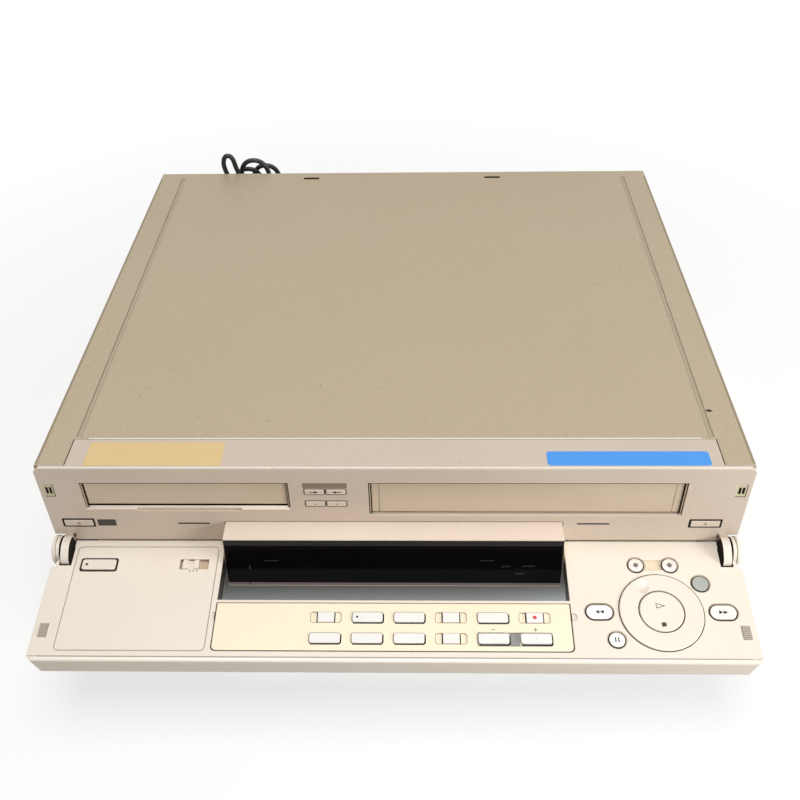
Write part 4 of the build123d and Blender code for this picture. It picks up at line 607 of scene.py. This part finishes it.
armSpec = dict(
    inner=204.1, outer=208.9, radius=8.8, skinEnds=(204.25, 208.75), skinDepth=(-0.1, 0.05),
    arc=(-75.0, 122.0), earInner=210.3, earSize=17.5, discSize=17.3, faceDepth=(0.02, 0.05),
    notch=(203.2, 0.8, -12.2, 1.4), bar=(204.0, 209.0),
    profile=((-5.1, 8.85), (3.4, 8.85), (7.4, 6.0), (11.2, 2.6), (11.2, -2.4), (8.0, -6.8), (-5.1, -2.0)),
    slotEnd=(206.65, -11.85), slotEndSize=(7.1, 0.7), slotEndTop=0.9, discShare=0.74, barShare=0.97,
)


def makeArmPieces(s):
    # the skin is a thin rectangle turned about the hinge's axis: forward by the radius times the angle's cosine, up
    # by the radius times its sine
    angle = np.radians(np.linspace(*s["arc"], 48))
    radius = s["radius"] + np.array(s["skinDepth"])[[0, 1, 1, 0]]
    skins, shades, ears, bars = [], [], [], []
    profile = np.array(s["profile"])
    for _ in range(3):  # each corner becomes two points, at a quarter and three quarters of its edges
        ahead = np.roll(profile, -1, axis=0)
        profile = np.stack([0.75 * profile + 0.25 * ahead, 0.25 * profile + 0.75 * ahead], axis=1).reshape(-1, 2)
    disc, ear = (ovalOutline(size, size, 60) for size in (s["discSize"], s["earSize"]))
    under, over = s["faceDepth"]
    for side in bothSides:
        ends = np.array(s["skinEnds"])[[0, 0, 1, 1]] * side
        grid = np.stack([np.cos(angle)[:, None] * radius, np.sin(angle)[:, None] * radius,
                         np.broadcast_to(ends, (len(angle), 4))], axis=2)
        skins.append(settle("hinge", capped(grid)))
        near, far = (side * x for x in s["bar"])
        bars.append(slab("hinge", profile, (0, 0), near, far))
        faces = ((disc, side * s["inner"], -side, s["discShare"]), (disc, side * s["outer"], side, 1),
                 (profile, near, -side, s["barShare"]), (profile, far, side, s["barShare"]))
        shades += [slab("hinge", shape, (0, 0), x - under * way, x + over * way, share)
                   for shape, x, way, share in faces]
        inner = side * s["earInner"]
        ears.append(slab("hinge", ear, (0, 0), inner + under * side, inner - over * side))
    makePiece("armHighlightSkins", skins, onFascia, "dialLacquer")
    makePiece("armBars", bars, onFascia, "dialLacquer")
    makePiece("armSideShade", shades, onFascia, "blackAndShade")
    makePiece("earSideShade", ears, onFlap, "blackAndShade")
    notches = sideStrips("flap", *s["notch"], underFlap, overFlap)
    x, y = s["slotEnd"]
    high = s["slotEndTop"]
    notches += [slab("flap", square * s["slotEndSize"], (side * x, y), high - 0.3, high) for side in bothSides]
    makePiece("notchShade", notches, onFlap, "blackAndShade")


makeFasciaPieces(fasciaSpec)
makeArmPieces(armSpec)
makeFasciaMarks(fasciaSpec)
print("top and fascia dressed")


# The display: the window's bevel and its bright line, painted reflection on the glass, the metal strip below it and
# the unlit legends

displaySpec = dict(
    bevel=(208.8, 3.0), bevelY=33.3, line=(104.2, 31.4, 0.25, -0.02, 0.05), trim=(209.0, 2.2), trimY=-0.9,
    joint=(0.5, 2.2), jointX=-91.0,
    legends=((-90.0, 13.0, 1.0, 3.4), (-76.0, 18.6, 9.0, 0.8), (58.0, 19.0, 9.0, 0.8), (84.0, 14.5, 8.0, 0.9),
             (79.0, 8.2, 6.0, 0.8), (70.0, 14.2, 6.0, 0.8)),
)


def makeDisplayPieces(s):
    bevel = layer("glass", square * s["bevel"], (0, s["bevelY"]), thickness=0.04)
    trim = layer("glass", square * s["trim"], (0, s["trimY"]), thickness=0.06)
    joint = layer("glass", square * s["joint"], (s["jointX"], s["trimY"]), 0.05, 0.04)
    legends = [layer("glass", roundedOutline(*size, 0.3), (x, y), thickness=0.01) for x, y, *size in s["legends"]]
    makePiece("windowBevelReflection", [bevel], onWindow, "bevelReflectionAcrylic")
    makePiece("windowHighlightLine", [acrossStrip("glass", *s["line"])], onWindow, "bevelHighlightLine")
    makePiece("windowStrip", [trim], onFascia, "bronzeTrim")
    makePiece("windowStripJoint", [joint], onFascia, "blackAndShade")
    makePiece("unlitLegends", legends, onWindow, "ghostInk")


makeDisplayPieces(displaySpec)


# The flap: engraved lines and key frames in painted shade, painted shade in the gaps and on the cut-out's sides,
# painted highlights on its front edge and the cut-out's rims, the channel behind two keys, the switch's pocket and
# grip ribs

flapSpec = dict(
    outline=(-200.2, -110.6, -69.0, 1.2, 2.2), edgeLine=(209.0, -72.7, 0.28), edgeShine=(211.0, -74.0, 0.8),
    panel=(106.7, 37.9, 68.6, 3.0), cutout=(107.18, -5.5, -35.6), cutoutFloor=-12.6,
    keyFirst=-39.9, keyPitch=25.0, rows={"upper": 47.1, "lower": 60.6}, keySize=(18.2, 6.4),
    shortWidth=9.9, short=("upper_key_1", "upper_key_4", "upper_key_6", "lower_key_4"), keyTop=1.7,
    keyCorner=1.7, channel=(72.6, -60.9), channelSize=(44.8, 8.8), channelFloor=0.3,
    channelKeys=("lower_key_5", "lower_key_6"), channelBar=6.0, minus=(60.1, -54.6), plus=(85.1, -54.6),
    minusBar=(2.2, 0.45), plusBar=(0.5, 2.4), tick=(0.4, 1.7), powerDot=(-192.4, -11.8), powerDotSize=(1.7, 1.9),
    power=(-184.8, -11.8), powerSize=(21.2, 7.1), powerTop=1.9, pocket=(-124.8, -11.3),
    pocketSize=(17.6, 6.8), pocketFloor=-0.8, ticks=(-127.1, -124.9, -122.6), tickY=-15.9,
    pads=(208.95, -56.2), padSize=(5.2, 8.8), padTop=1.4, ribs=7,
    marks={"upper_key_2": (-6.2, 1.5, "darkInk"), "upper_key_6": (0.0, 2.5, "redInk"),
           "lower_key_5": (0.0, 0.7, "rosyInk"), "lower_key_6": (0.0, 0.7, "rosyInk")},
)
keyNames = [f"{row}_key_{i}" for row in flapSpec["rows"] for i in range(1, 7)]


def keyPlace(s, name):  # a key's middle on the flap, and its width
    row, number = name.split("_")[0], int(name[-1])
    width = s["shortWidth"] if name in s["short"] else s["keySize"][0]
    return (s["keyFirst"] + s["keyPitch"] * (number - 1), -s["rows"][row]), width


def makeFlapLines(s):
    top = deck["flapTop"]
    lines = [band("flap", *boxed(*s["outline"]), 0.32, -0.2, top + 0.01),
             acrossStrip("flap", *s["edgeLine"], -0.2, top + 0.01)]
    makePiece("flapEngraving", lines, onFlap, "greyShadeLine")
    makePiece("flapEdgeShine", [acrossStrip("flap", *s["edgeShine"], -0.2, top + 0.015)], onFlap, "edgeShine")
    # painted shade on the cut-out's sides, and a painted highlight along their lower rims
    floor = s["cutoutFloor"]
    makePiece("cutoutCheeks", sideStrips("flap", *s["cutout"], 0.08, floor, top - 1.2), onFlap, "cheekShade")
    makePiece("cutoutRimHighlights", sideStrips("flap", *s["cutout"], 0.16, floor, floor + 0.7), onFlap, "tanMoulding")
    half, near, far, corner = s["panel"]
    bend = cornerBend(half - corner, -far + corner, corner + 0.3, 10)
    right = np.concatenate([bend, [(half + 0.3, -near)]])
    path = np.concatenate([(right * [-1, 1])[::-1], right])
    makePiece("panelGapShade", [strip("flap", path, 0.95, -0.5, deck["panelTop"] + 0.04)], onPanel, "shadeBrown")


def cornerBend(x, y, radius, turns):  # a quarter circle round a point, from straight in front of it to its right
    turn = np.linspace(0, math.pi / 2, turns)
    return np.stack([x + radius * np.sin(turn), y - radius * np.cos(turn)], axis=1)


def keyShade(at, width, length, high, corner=1.5, out=0.5):
    # painted shade in the open gap in front of a key and at its right: a strip that turns a rounded corner
    left, right, front, back = at[0] - width / 2, at[0] + width / 2, at[1] - length / 2, at[1] + length / 2
    bend = cornerBend(right + out - corner, front - out + corner, corner, 8)
    path = np.concatenate([[(left + 0.6, front - out)], bend, [(right + out, back - 0.8)]])
    return strip("flap", path, 0.78, 0.1, high)


def makeKeySurrounds(s):
    panelTop, floor, length = deck["panelTop"], s["channelFloor"], s["keySize"][1]
    shades, frames = [], []
    for name in keyNames:
        (x, y), width = keyPlace(s, name)
        if name in s["short"]:
            frame = roundedOutline(s["keySize"][0] + 0.4, length + 0.4, s["keyCorner"])
            frames.append(band("flap", frame, (x, y), 0.35, underFlap, panelTop + 0.02))
            out = width / 2 + 0.42
            shades += [strip("flap", [(x + side * out, y - length / 2), (x + side * out, y + length / 2)], 0.55, 0.1,
                             floor + 0.25) for side in bothSides]
        elif name in s["channelKeys"]:
            shades.append(keyShade((x, y), width, length, floor + 0.06))
        else:
            shades.append(keyShade((x, y), width, length, panelTop + 0.02))
            frame = roundedOutline(width + 0.7, length + 0.7, s["keyCorner"])
            frames.append(band("flap", frame, (x, y), 0.3, underFlap, panelTop + 0.015))
    # painted shade: the dark gaps beside the keys, and the thin brown frames round them
    makePiece("keyShade", shades, onPanel, "blackAndShade")
    makePiece("keyFrames", frames, onPanel, "brownShadeLine")


def makeChannelAndPocket(s):
    width, length = s["channelSize"]
    floor, panelTop = s["channelFloor"], deck["panelTop"]
    edge = roundedOutline(width - 0.75, length - 0.75, 1.6)
    channel = [band("flap", edge, s["channel"], 0.7, floor - 0.1, floor + 0.05),
               layer("flap", square * [s["channelBar"], length - 0.6], s["channel"], floor, 0.05)]
    makePiece("channelFloor", channel, onPanel, "channelInk")
    signs = [layer("flap", square * s["minusBar"], s[sign], panelTop) for sign in ("minus", "plus")]
    signs.append(layer("flap", square * s["plusBar"], s["plus"], panelTop + 0.005))
    makePiece("stepSigns", signs, onPanel, "greyInk")
    width, length = s["pocketSize"]
    floor = layer("flap", roundedOutline(width - 0.3, length - 0.3, 0.4), s["pocket"], s["pocketFloor"], 0.05)
    makePiece("pocketFloor", [floor], onFlap, "tanMoulding")
    rim = square[[0, 3, 2, 1]] * s["pocketSize"] + s["pocket"]  # open in front
    makePiece("pocketRim", [strip("flap", rim, 0.4, underFlap, overFlap)], onFlap, "brownShadeLine")
    ticks = [layer("flap", square * s["tick"], (x, s["tickY"]), deck["flapTop"]) for x in s["ticks"]]
    makePiece("switchTicks", ticks, onFlap, "darkInk")
    gap = gapRing("flap", s["powerSize"], s["power"], 0.5, 0.06, 1.2, underFlap, overFlap)
    makePiece("powerGapShade", [gap], onFlap, "shadeBrown")
    dot = layer("flap", ovalOutline(*s["powerDotSize"], 20), s["powerDot"], s["powerTop"])
    makePiece("powerDot", [dot], ("power_button", "button_plastic"), "darkInk")


def makePadRibs(s):
    (x, y), (width, length), top = s["pads"], s["padSize"], s["padTop"]
    ribs = []
    for side in bothSides:
        for share in (np.arange(s["ribs"]) + 0.5) / s["ribs"] - 0.5:
            place, left, right = y + length * share, side * x - width / 2 + 0.4, side * x + width / 2 - 0.4
            ribs.append(strip("flap", [(left, place), (right, place)], 0.55, top - 0.1, top + 0.18))
    makePiece("padRibs", ribs, ("control_flap", "pad_rubber"), "ribRubber")


makeFlapLines(flapSpec)
makeKeySurrounds(flapSpec)
makeChannelAndPocket(flapSpec)
makePadRibs(flapSpec)
print("flap dressed")


# Marks on the keys, painted shade in the round controls' gaps and dishes, and the signs for winding, pause, play and
# stop.
# Each kind of ring: how far its oval and its wind key's ring stand out, both widths, low, high, finish.

roundSpec = dict(
    selects={"dv_select_button": (150.2, -11.1), "vhs_select_button": (171.0, -11.1)}, selectRadius=4.5,
    jog=(187.7, -23.8), jogRadius=4.9, pause=(132.4, -60.9), pauseRadius=4.6,
    winds={"rewind_button": (124.1, -1), "forward_button": (197.9, 1)}, windY=-43.0, windSize=(15.6, 9.2),
    windCorner=4.6, keyTop=1.3, dial=(161.1, -43.0), dialSize=50.65, boreSize=27.45, dialTop=2.0,
    discTop=2.3, eyeSize=3.1, pupilSize=1.5,
    arrow=(2.6, 2.6), arrowStep=1.35, bar=(0.85, 3.2), barStep=0.9, play=(4.8, 3.0), playOut=(-0.4, 3.6),
    stopSize=2.7, stopDrop=8.6, bridge=(160.6, -11.1), bridgeSize=(9.6, 6.8), bridgeTop=0.3,
    rings={"dishShadeTint": (1.65, 0.6, 0.5, 0.48, 0.2, 0.35, "recessShadeTan"),
           "dishRims": (2.5, 1.1, 0.28, 0.28, 0.2, 1.11, "greyShadeLine"),
           "roundGapShade": (0.8, 0.06, 0.72, 0.75, -0.4, 0.42, "shadeBrown")},
)


def makeRoundPieces(s):
    rounds = [(at, s["selectRadius"]) for at in s["selects"].values()]
    rounds += [(s["jog"], s["jogRadius"]), (s["pause"], s["pauseRadius"])]
    for name, (grow, clear, width, windWidth, low, high, finish) in s["rings"].items():
        grids = [ring("flap", 2 * radius + grow, at, width, low, high) for at, radius in rounds]
        grids += [gapRing("flap", s["windSize"], (x, s["windY"]), s["windCorner"], clear, windWidth, low, high)
                  for x, _ in s["winds"].values()]
        if name == "dishShadeTint":
            grids.append(layer("flap", square * s["bridgeSize"], s["bridge"], s["bridgeTop"], 0.04))
        makePiece(name, grids, onFlap, finish)
    top = s["dialTop"]
    dial = ring("flap", s["dialSize"], s["dial"], 0.55, underFlap, overFlap, 120)
    makePiece("dialGapShade", [dial], onFlap, "shadeBrown")
    bore = ring("flap", s["boreSize"], s["dial"], 0.4, top - 0.3, top + 0.015, 90)
    makePiece("dialBoreShade", [bore], ("shuttle_ring", "silver_plastic"), "shadeBrown")


def makeRoundMarks(s):
    top = s["keyTop"]
    for name, at in s["selects"].items():
        eye = [layer("flap", ovalOutline(s["eyeSize"], s["eyeSize"], 32), at, top, 0.05),
               layer("flap", ovalOutline(s["pupilSize"], s["pupilSize"], 24), at, top + 0.05, 0.03)]
        makePiece(name + "Eye", eye, (name, "silver_plastic"), "eyeInk")
    for name, (x, way) in s["winds"].items():
        head = triangle * s["arrow"] * [way, 1]
        arrows = [layer("flap", head, (x + side * s["arrowStep"], s["windY"]), top) for side in bothSides]
        makePiece(name + "Arrows", arrows, (name, "silver_plastic"), "darkInk")
    x, y = s["pause"]
    bars = [layer("flap", square * s["bar"], (x + side * s["barStep"], y), top) for side in bothSides]
    makePiece("pauseBars", bars, ("pause_button", "silver_plastic"), "darkInk")
    (x, y), top = s["dial"], s["discTop"]
    right, up = s["playOut"]
    signs = [band("flap", triangle * s["play"], (x + right, y + up), 0.4, top - 0.02, top + 0.03),
             layer("flap", square * s["stopSize"], (x, y - s["stopDrop"]), top)]
    makePiece("playStopSigns", signs, ("play_stop_disc", "silver_plastic"), "darkInk")


def makeKeyMarks(s):
    for name, (offset, size, finish) in s["marks"].items():
        (x, y), _ = keyPlace(s, name)
        dot = layer("flap", ovalOutline(size, size * 0.95, 24), (x + offset, y), s["keyTop"])
        makePiece(name + "Dot", [dot], (name, "button_plastic"), finish)


makeRoundPieces(roundSpec)
makeRoundMarks(roundSpec)
makeKeyMarks(flapSpec)
print("keys marked")


# The rear and the screws: coloured insulators, socket pins, outlines round the jack groups, cross recesses in
# painted shade

rearSpec = dict(
    jackX=-88.0, pitchX=17.0, pitchZ=19.0, columns=5, jackZ=42.0, jackReach=8.0,
    rowFinish=("redInsulator", "whiteInsulator", "yellowInsulator"), socketX=22.0, socketReach=3.0,
    pinAngles=(45, 135, 215, 325), pinRadius=2.2, groups=((-54.0, 61.0, 88.0, 60.0), (22.0, 61.0, 22.0, 60.0)),
    aerialX=168.0, aerialZ=(58.0, 92.0), aerialReach=9.0, flankScrewY=(70.0, 330.0), flankScrewZ=30.0,
    rearScrewX=(-188.0, -60.0, 60.0, 188.0), rearScrewZ=138.0, head=1.38, bar=(4.2, 0.8),
)


def makeRearPieces(s):
    faces, pins, reach = [], [], s["socketReach"]
    for row, finish in enumerate(s["rowFinish"]):
        z, high = s["jackZ"] + s["pitchZ"] * row, s["jackReach"]
        rings = [ring("rear", 5.6, (-(s["jackX"] + s["pitchX"] * i), z), 1.3, high - 0.4, high + 0.08, 32)
                 for i in range(s["columns"])]
        makePiece(f"jackInsulators{row + 1}", rings, ("deck", "jack_metal"), finish)
        faces.append(layer("rear", ovalOutline(8.2, 8.2, 36), (-s["socketX"], z), reach, 0.05))
        for angle in np.radians(s["pinAngles"]):
            at = (-s["socketX"] + s["pinRadius"] * math.cos(angle), z + s["pinRadius"] * math.sin(angle))
            pins.append(layer("rear", ovalOutline(0.9, 0.9, 12), at, reach + 0.06, 0.05))
    centres = [layer("rear", ovalOutline(3.9, 3.9, 24), (-s["aerialX"], z), s["aerialReach"]) for z in s["aerialZ"]]
    makePiece("aerialInsulators", centres, ("deck", "jack_metal"), "whiteInsulator")
    makePiece("socketFaces", faces, ("deck", "black_rubber"), "blackAndShade")
    makePiece("socketPins", pins, ("deck", "jack_metal"), "nickelBrass")
    frames = [band("rear", roundedOutline(*size, 3.0), (-x, z), 0.5, -0.02, 0.03) for x, z, *size in s["groups"]]
    makePiece("jackGroupLines", frames, ("deck", "zinc_steel"), "paleInk")
    places = {"left": [(-y, s["flankScrewZ"]) for y in s["flankScrewY"]],
              "right": [(y, s["flankScrewZ"]) for y in s["flankScrewY"]],
              "rear": [(-x, s["rearScrewZ"]) for x in s["rearScrewX"]]}
    bars = ((square * s["bar"], 0.022), (square * s["bar"][::-1], 0.024))
    crosses = [layer(surface, bar, at, s["head"], thickness) for surface, spots in places.items() for at in spots
               for bar, thickness in bars]
    makePiece("crossRecesses", crosses, ("deck", "screw_steel"), "blackAndShade")


makeRearPieces(rearSpec)
print("rear dressed")


# The mains lead: the route's points, as in the solids

leadSpec = dict(
    diameter=4.2, leanGap=1.0, lean=9.0, pitch=5.2, waistRise=76.0, waistHalf=3.4,
    waistLength=22.0, bundleX=-138.0, shoulder=0.8, corner=0.9,
    tops=((-137.0, -113.0, -4.0), (-153.0, -128.0, -4.0), (-145.4, -120.8, 8.6), (-159.0, -149.4, 17.0)),
    feet=((-153.0, -121.0), (-155.0, -122.6), (-152.4, -120.2), (-156.0, -123.4)),
    rising=((-149.4, 122.0), (-160.0, 148.4)), falling=((-148.6, 148.4, 0.0), (-139.6, 122.0, 0.2)),
    glandX=-190.0, glandZ=30.0, glandLength=25.0, startX=-104.0, turnRadius=36.0,
    tail=((30.0, 3.0, 0.0), (66.0, 9.0, 0.6), (92.0, 8.0, 4.5), (106.0, 8.0, 4.5)), length=1.76,
)
tiltBack = math.radians(leadSpec["lean"])
leadFloor = leadSpec["diameter"] / 2 + 0.05
leanRise = deck["caseTop"] - leadFloor


def leaning(x, out, up):  # across, out from the nearest layer, up along the lean
    y = deck["caseDepth"] + leadSpec["diameter"] / 2 + leadSpec["leanGap"] + leanRise * math.tan(tiltBack)
    return (x, y - up * math.sin(tiltBack) + out * math.cos(tiltBack),
            leadFloor + up * math.cos(tiltBack) + out * math.sin(tiltBack))


def hankPoints(s):
    points, layers, pitch, corner = [], len(s["tops"]), s["pitch"], s["corner"]
    waistLow, waistHigh = (s["waistRise"] + end * s["waistLength"] / 2 for end in bothSides)
    waistLeft, waistRight = (s["bundleX"] + side * s["waistHalf"] for side in bothSides)
    for i, ((left, right, above), (footLeft, footRight)) in enumerate(zip(s["tops"], s["feet"])):
        out, nextOut = (layers - 1 - i) * pitch, (layers - 2 - i) * pitch
        width, footWidth = right - left, footRight - footLeft
        up = (deck["caseTop"] + above - leadFloor) / math.cos(tiltBack)
        shoulder = up - s["shoulder"] * width - 6
        down, nextDown = -out * math.tan(tiltBack), -nextOut * math.tan(tiltBack)
        bulge = 0.1 * width
        last = i == layers - 1
        rising = s["rising"] if last else [(left - bulge, shoulder)]
        falling = s["falling"] if last else [(right + bulge, shoulder, 0.2)]
        points += [leaning(footLeft + 1.2, out, down), leaning(footLeft - 0.4, out, down + corner * footWidth),
                   leaning(waistLeft, out, waistLow), leaning(waistLeft - 0.4, out, waistHigh)]
        points += [leaning(x, out, height) for x, height in rising]
        points += [leaning(left + bulge, out, up), leaning(right - bulge, out, up)]
        points += [leaning(x, out - shift * pitch, height) for x, height, shift in falling]
        points += [leaning(waistRight + 0.4, out - 0.45 * pitch, waistHigh),
                   leaning(waistRight, out - 0.55 * pitch, waistLow),
                   leaning(footRight + 0.4, nextOut, nextDown + corner * footWidth)]
        if not last:
            points.append(leaning(footRight - 1.2, nextOut, nextDown))
    return points


def leadRoute(s):
    startY = deck["rearPlane"] + s["glandLength"]
    hankY = leaning(0, 0, 0)[1] + (len(s["tops"]) - 1) * s["pitch"] / math.cos(tiltBack)
    x, z, r, turnX, floor = s["glandX"], s["glandZ"], s["turnRadius"], s["startX"], leadFloor
    turnY, step = hankY + r, r * math.tan(math.radians(22.5))  # half a side of the octagon round the turn
    lead = [(x, startY, z), (x, startY + 20, z), (x + 2, startY + 44, z - 11), (x + 9, startY + 67, floor + 4),
            (x + 26, startY + 85, floor), (x + 52, turnY + r + 2, floor), (turnX + step, turnY + r, floor),
            (turnX + r, turnY + step, floor), (turnX + r, turnY - step, floor), (turnX + step, hankY + 0.16, floor),
            (turnX, hankY, floor), (s["feet"][0][1] - 1.2, hankY - 0.2, floor)]
    corner = leaning(s["feet"][-1][1] + 5.0, -s["pitch"], s["pitch"] * math.tan(tiltBack))
    tail = [(corner[0] + dx, corner[1] + dy, floor + dz) for dx, dy, dz in s["tail"]]
    points = np.array(lead + hankPoints(s) + [corner] + tail)
    return (points - [0, originY, 0]) * mm


def makeLead(s):
    points = leadRoute(s)
    data = bpy.data.curves.new("mainsLead", "CURVE")
    data.dimensions = "3D"
    data.resolution_u = 10
    data.bevel_depth = s["diameter"] / 2 * mm
    data.bevel_resolution = 6
    data.use_fill_caps = True
    spline = data.splines.new("NURBS")
    spline.points.add(len(points) - 1)
    spline.points.foreach_set("co", np.hstack([points, np.ones((len(points), 1))]).ravel())
    spline.order_u = 3
    spline.use_endpoint_u = True
    lead = newObject("mainsLead", data)
    data.materials.append(materials["softVinyl"])
    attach(lead, "deck")
    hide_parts("mains_lead", "lead_hank")


makeLead(leadSpec)
print("lead made")


# The floor, the lights and the world

stageSpec = dict(half=4.0, shadowPaper="aeaca9", seenPaper="f4f3f1", fadeFrom=0.34, fadeTo=1.0,
                 fadeLow=0.62, glow=1.1, skyLight=0.19, seenSky=1.0)
lamps = {
    "overheadSoftbox": {"place": (0.0, -0.35, 1.7), "aim": (0, 0, 0.1), "size": (1.2, 1.2), "power": 19.6},
    "sideSoftbox": {"place": (0.85, -0.65, 0.30), "aim": (0.05, -0.05, 0.1), "size": (0.36, 0.24), "power": 6.2},
}


def seenShare(tree):  # 1 for what the camera sees itself, in a reflection or through glass
    rays = addNode(tree, "LightPath")
    seen = addNode(tree, "Math", {"operation": "MAXIMUM"},
                   {0: (rays, "Is Camera Ray"), 1: (rays, "Is Glossy Ray")})
    return addNode(tree, "Math", {"operation": "MAXIMUM"}, {0: seen, 1: (rays, "Is Transmission Ray")})


def makeFloor(s):
    half = s["half"]
    mesh = bpy.data.meshes.new("studioFloor")
    mesh.from_pydata([(-half, -half, 0), (half, -half, 0), (half, half, 0), (-half, half, 0)], [], [(0, 1, 2, 3)])
    floor = newObject("studioFloor", mesh)
    material, tree = startMaterial("paperFloor")  # white paper sweep: matt, and white where the object's shadow ends
    seen = seenShare(tree)
    place = addNode(tree, "TexCoord")
    away = addNode(tree, "VectorMath", {"operation": "LENGTH"}, {0: (place, "Object")})
    # beyond the shadow's reach the paper goes over to plain white
    ends = {"From Min": s["fadeFrom"], "From Max": s["fadeTo"], "To Min": s["fadeLow"], "To Max": 1.0}
    share = addNode(tree, "MapRange", ends, {"Value": (away, "Value")})
    amount = addNode(tree, "Math", {"operation": "MULTIPLY"}, {0: seen, 1: share})
    tones = {"data_type": "RGBA", 6: colour(s["shadowPaper"]), 7: colour(s["seenPaper"])}
    tone = addNode(tree, "Mix", tones, {0: seen})
    paper = addNode(tree, "BsdfDiffuse", links={"Color": (tone, 2)})
    white = addNode(tree, "Emission", {"Color": (1, 1, 1, 1), "Strength": s["glow"]})
    mixed = addNode(tree, "MixShader", links={0: amount, 1: paper, 2: white})
    addNode(tree, "OutputMaterial", links={"Surface": mixed})
    mesh.materials.append(material)


def makeSky(s):
    world = bpy.data.worlds.new("studioWorld")
    bpy.context.scene.world = world
    world.use_nodes = True
    sky = world.node_tree
    sky.nodes.clear()
    seen = seenShare(sky)
    plain = addNode(sky, "Background", {"Color": (1, 1, 1, 1), "Strength": s["skyLight"]})
    white = addNode(sky, "Background", {"Color": (1, 1, 1, 1), "Strength": s["seenSky"]})
    mixed = addNode(sky, "MixShader", links={0: seen, 1: plain, 2: white})
    addNode(sky, "OutputWorld", links={"Surface": mixed})


def makeLamps():
    for name, spec in lamps.items():
        data = bpy.data.lights.new(name, "AREA")
        data.shape = "RECTANGLE"
        data.size, data.size_y = spec["size"]
        data.energy = spec["power"]
        lamp = newObject(name, data)
        lamp.location = spec["place"]
        lamp.rotation_euler = (Vector(spec["aim"]) - Vector(spec["place"])).to_track_quat("-Z", "Y").to_euler()


makeFloor(stageSpec)
makeSky(stageSpec)
makeLamps()
bpy.context.scene.view_settings.view_transform = "Standard"
print("stage set")
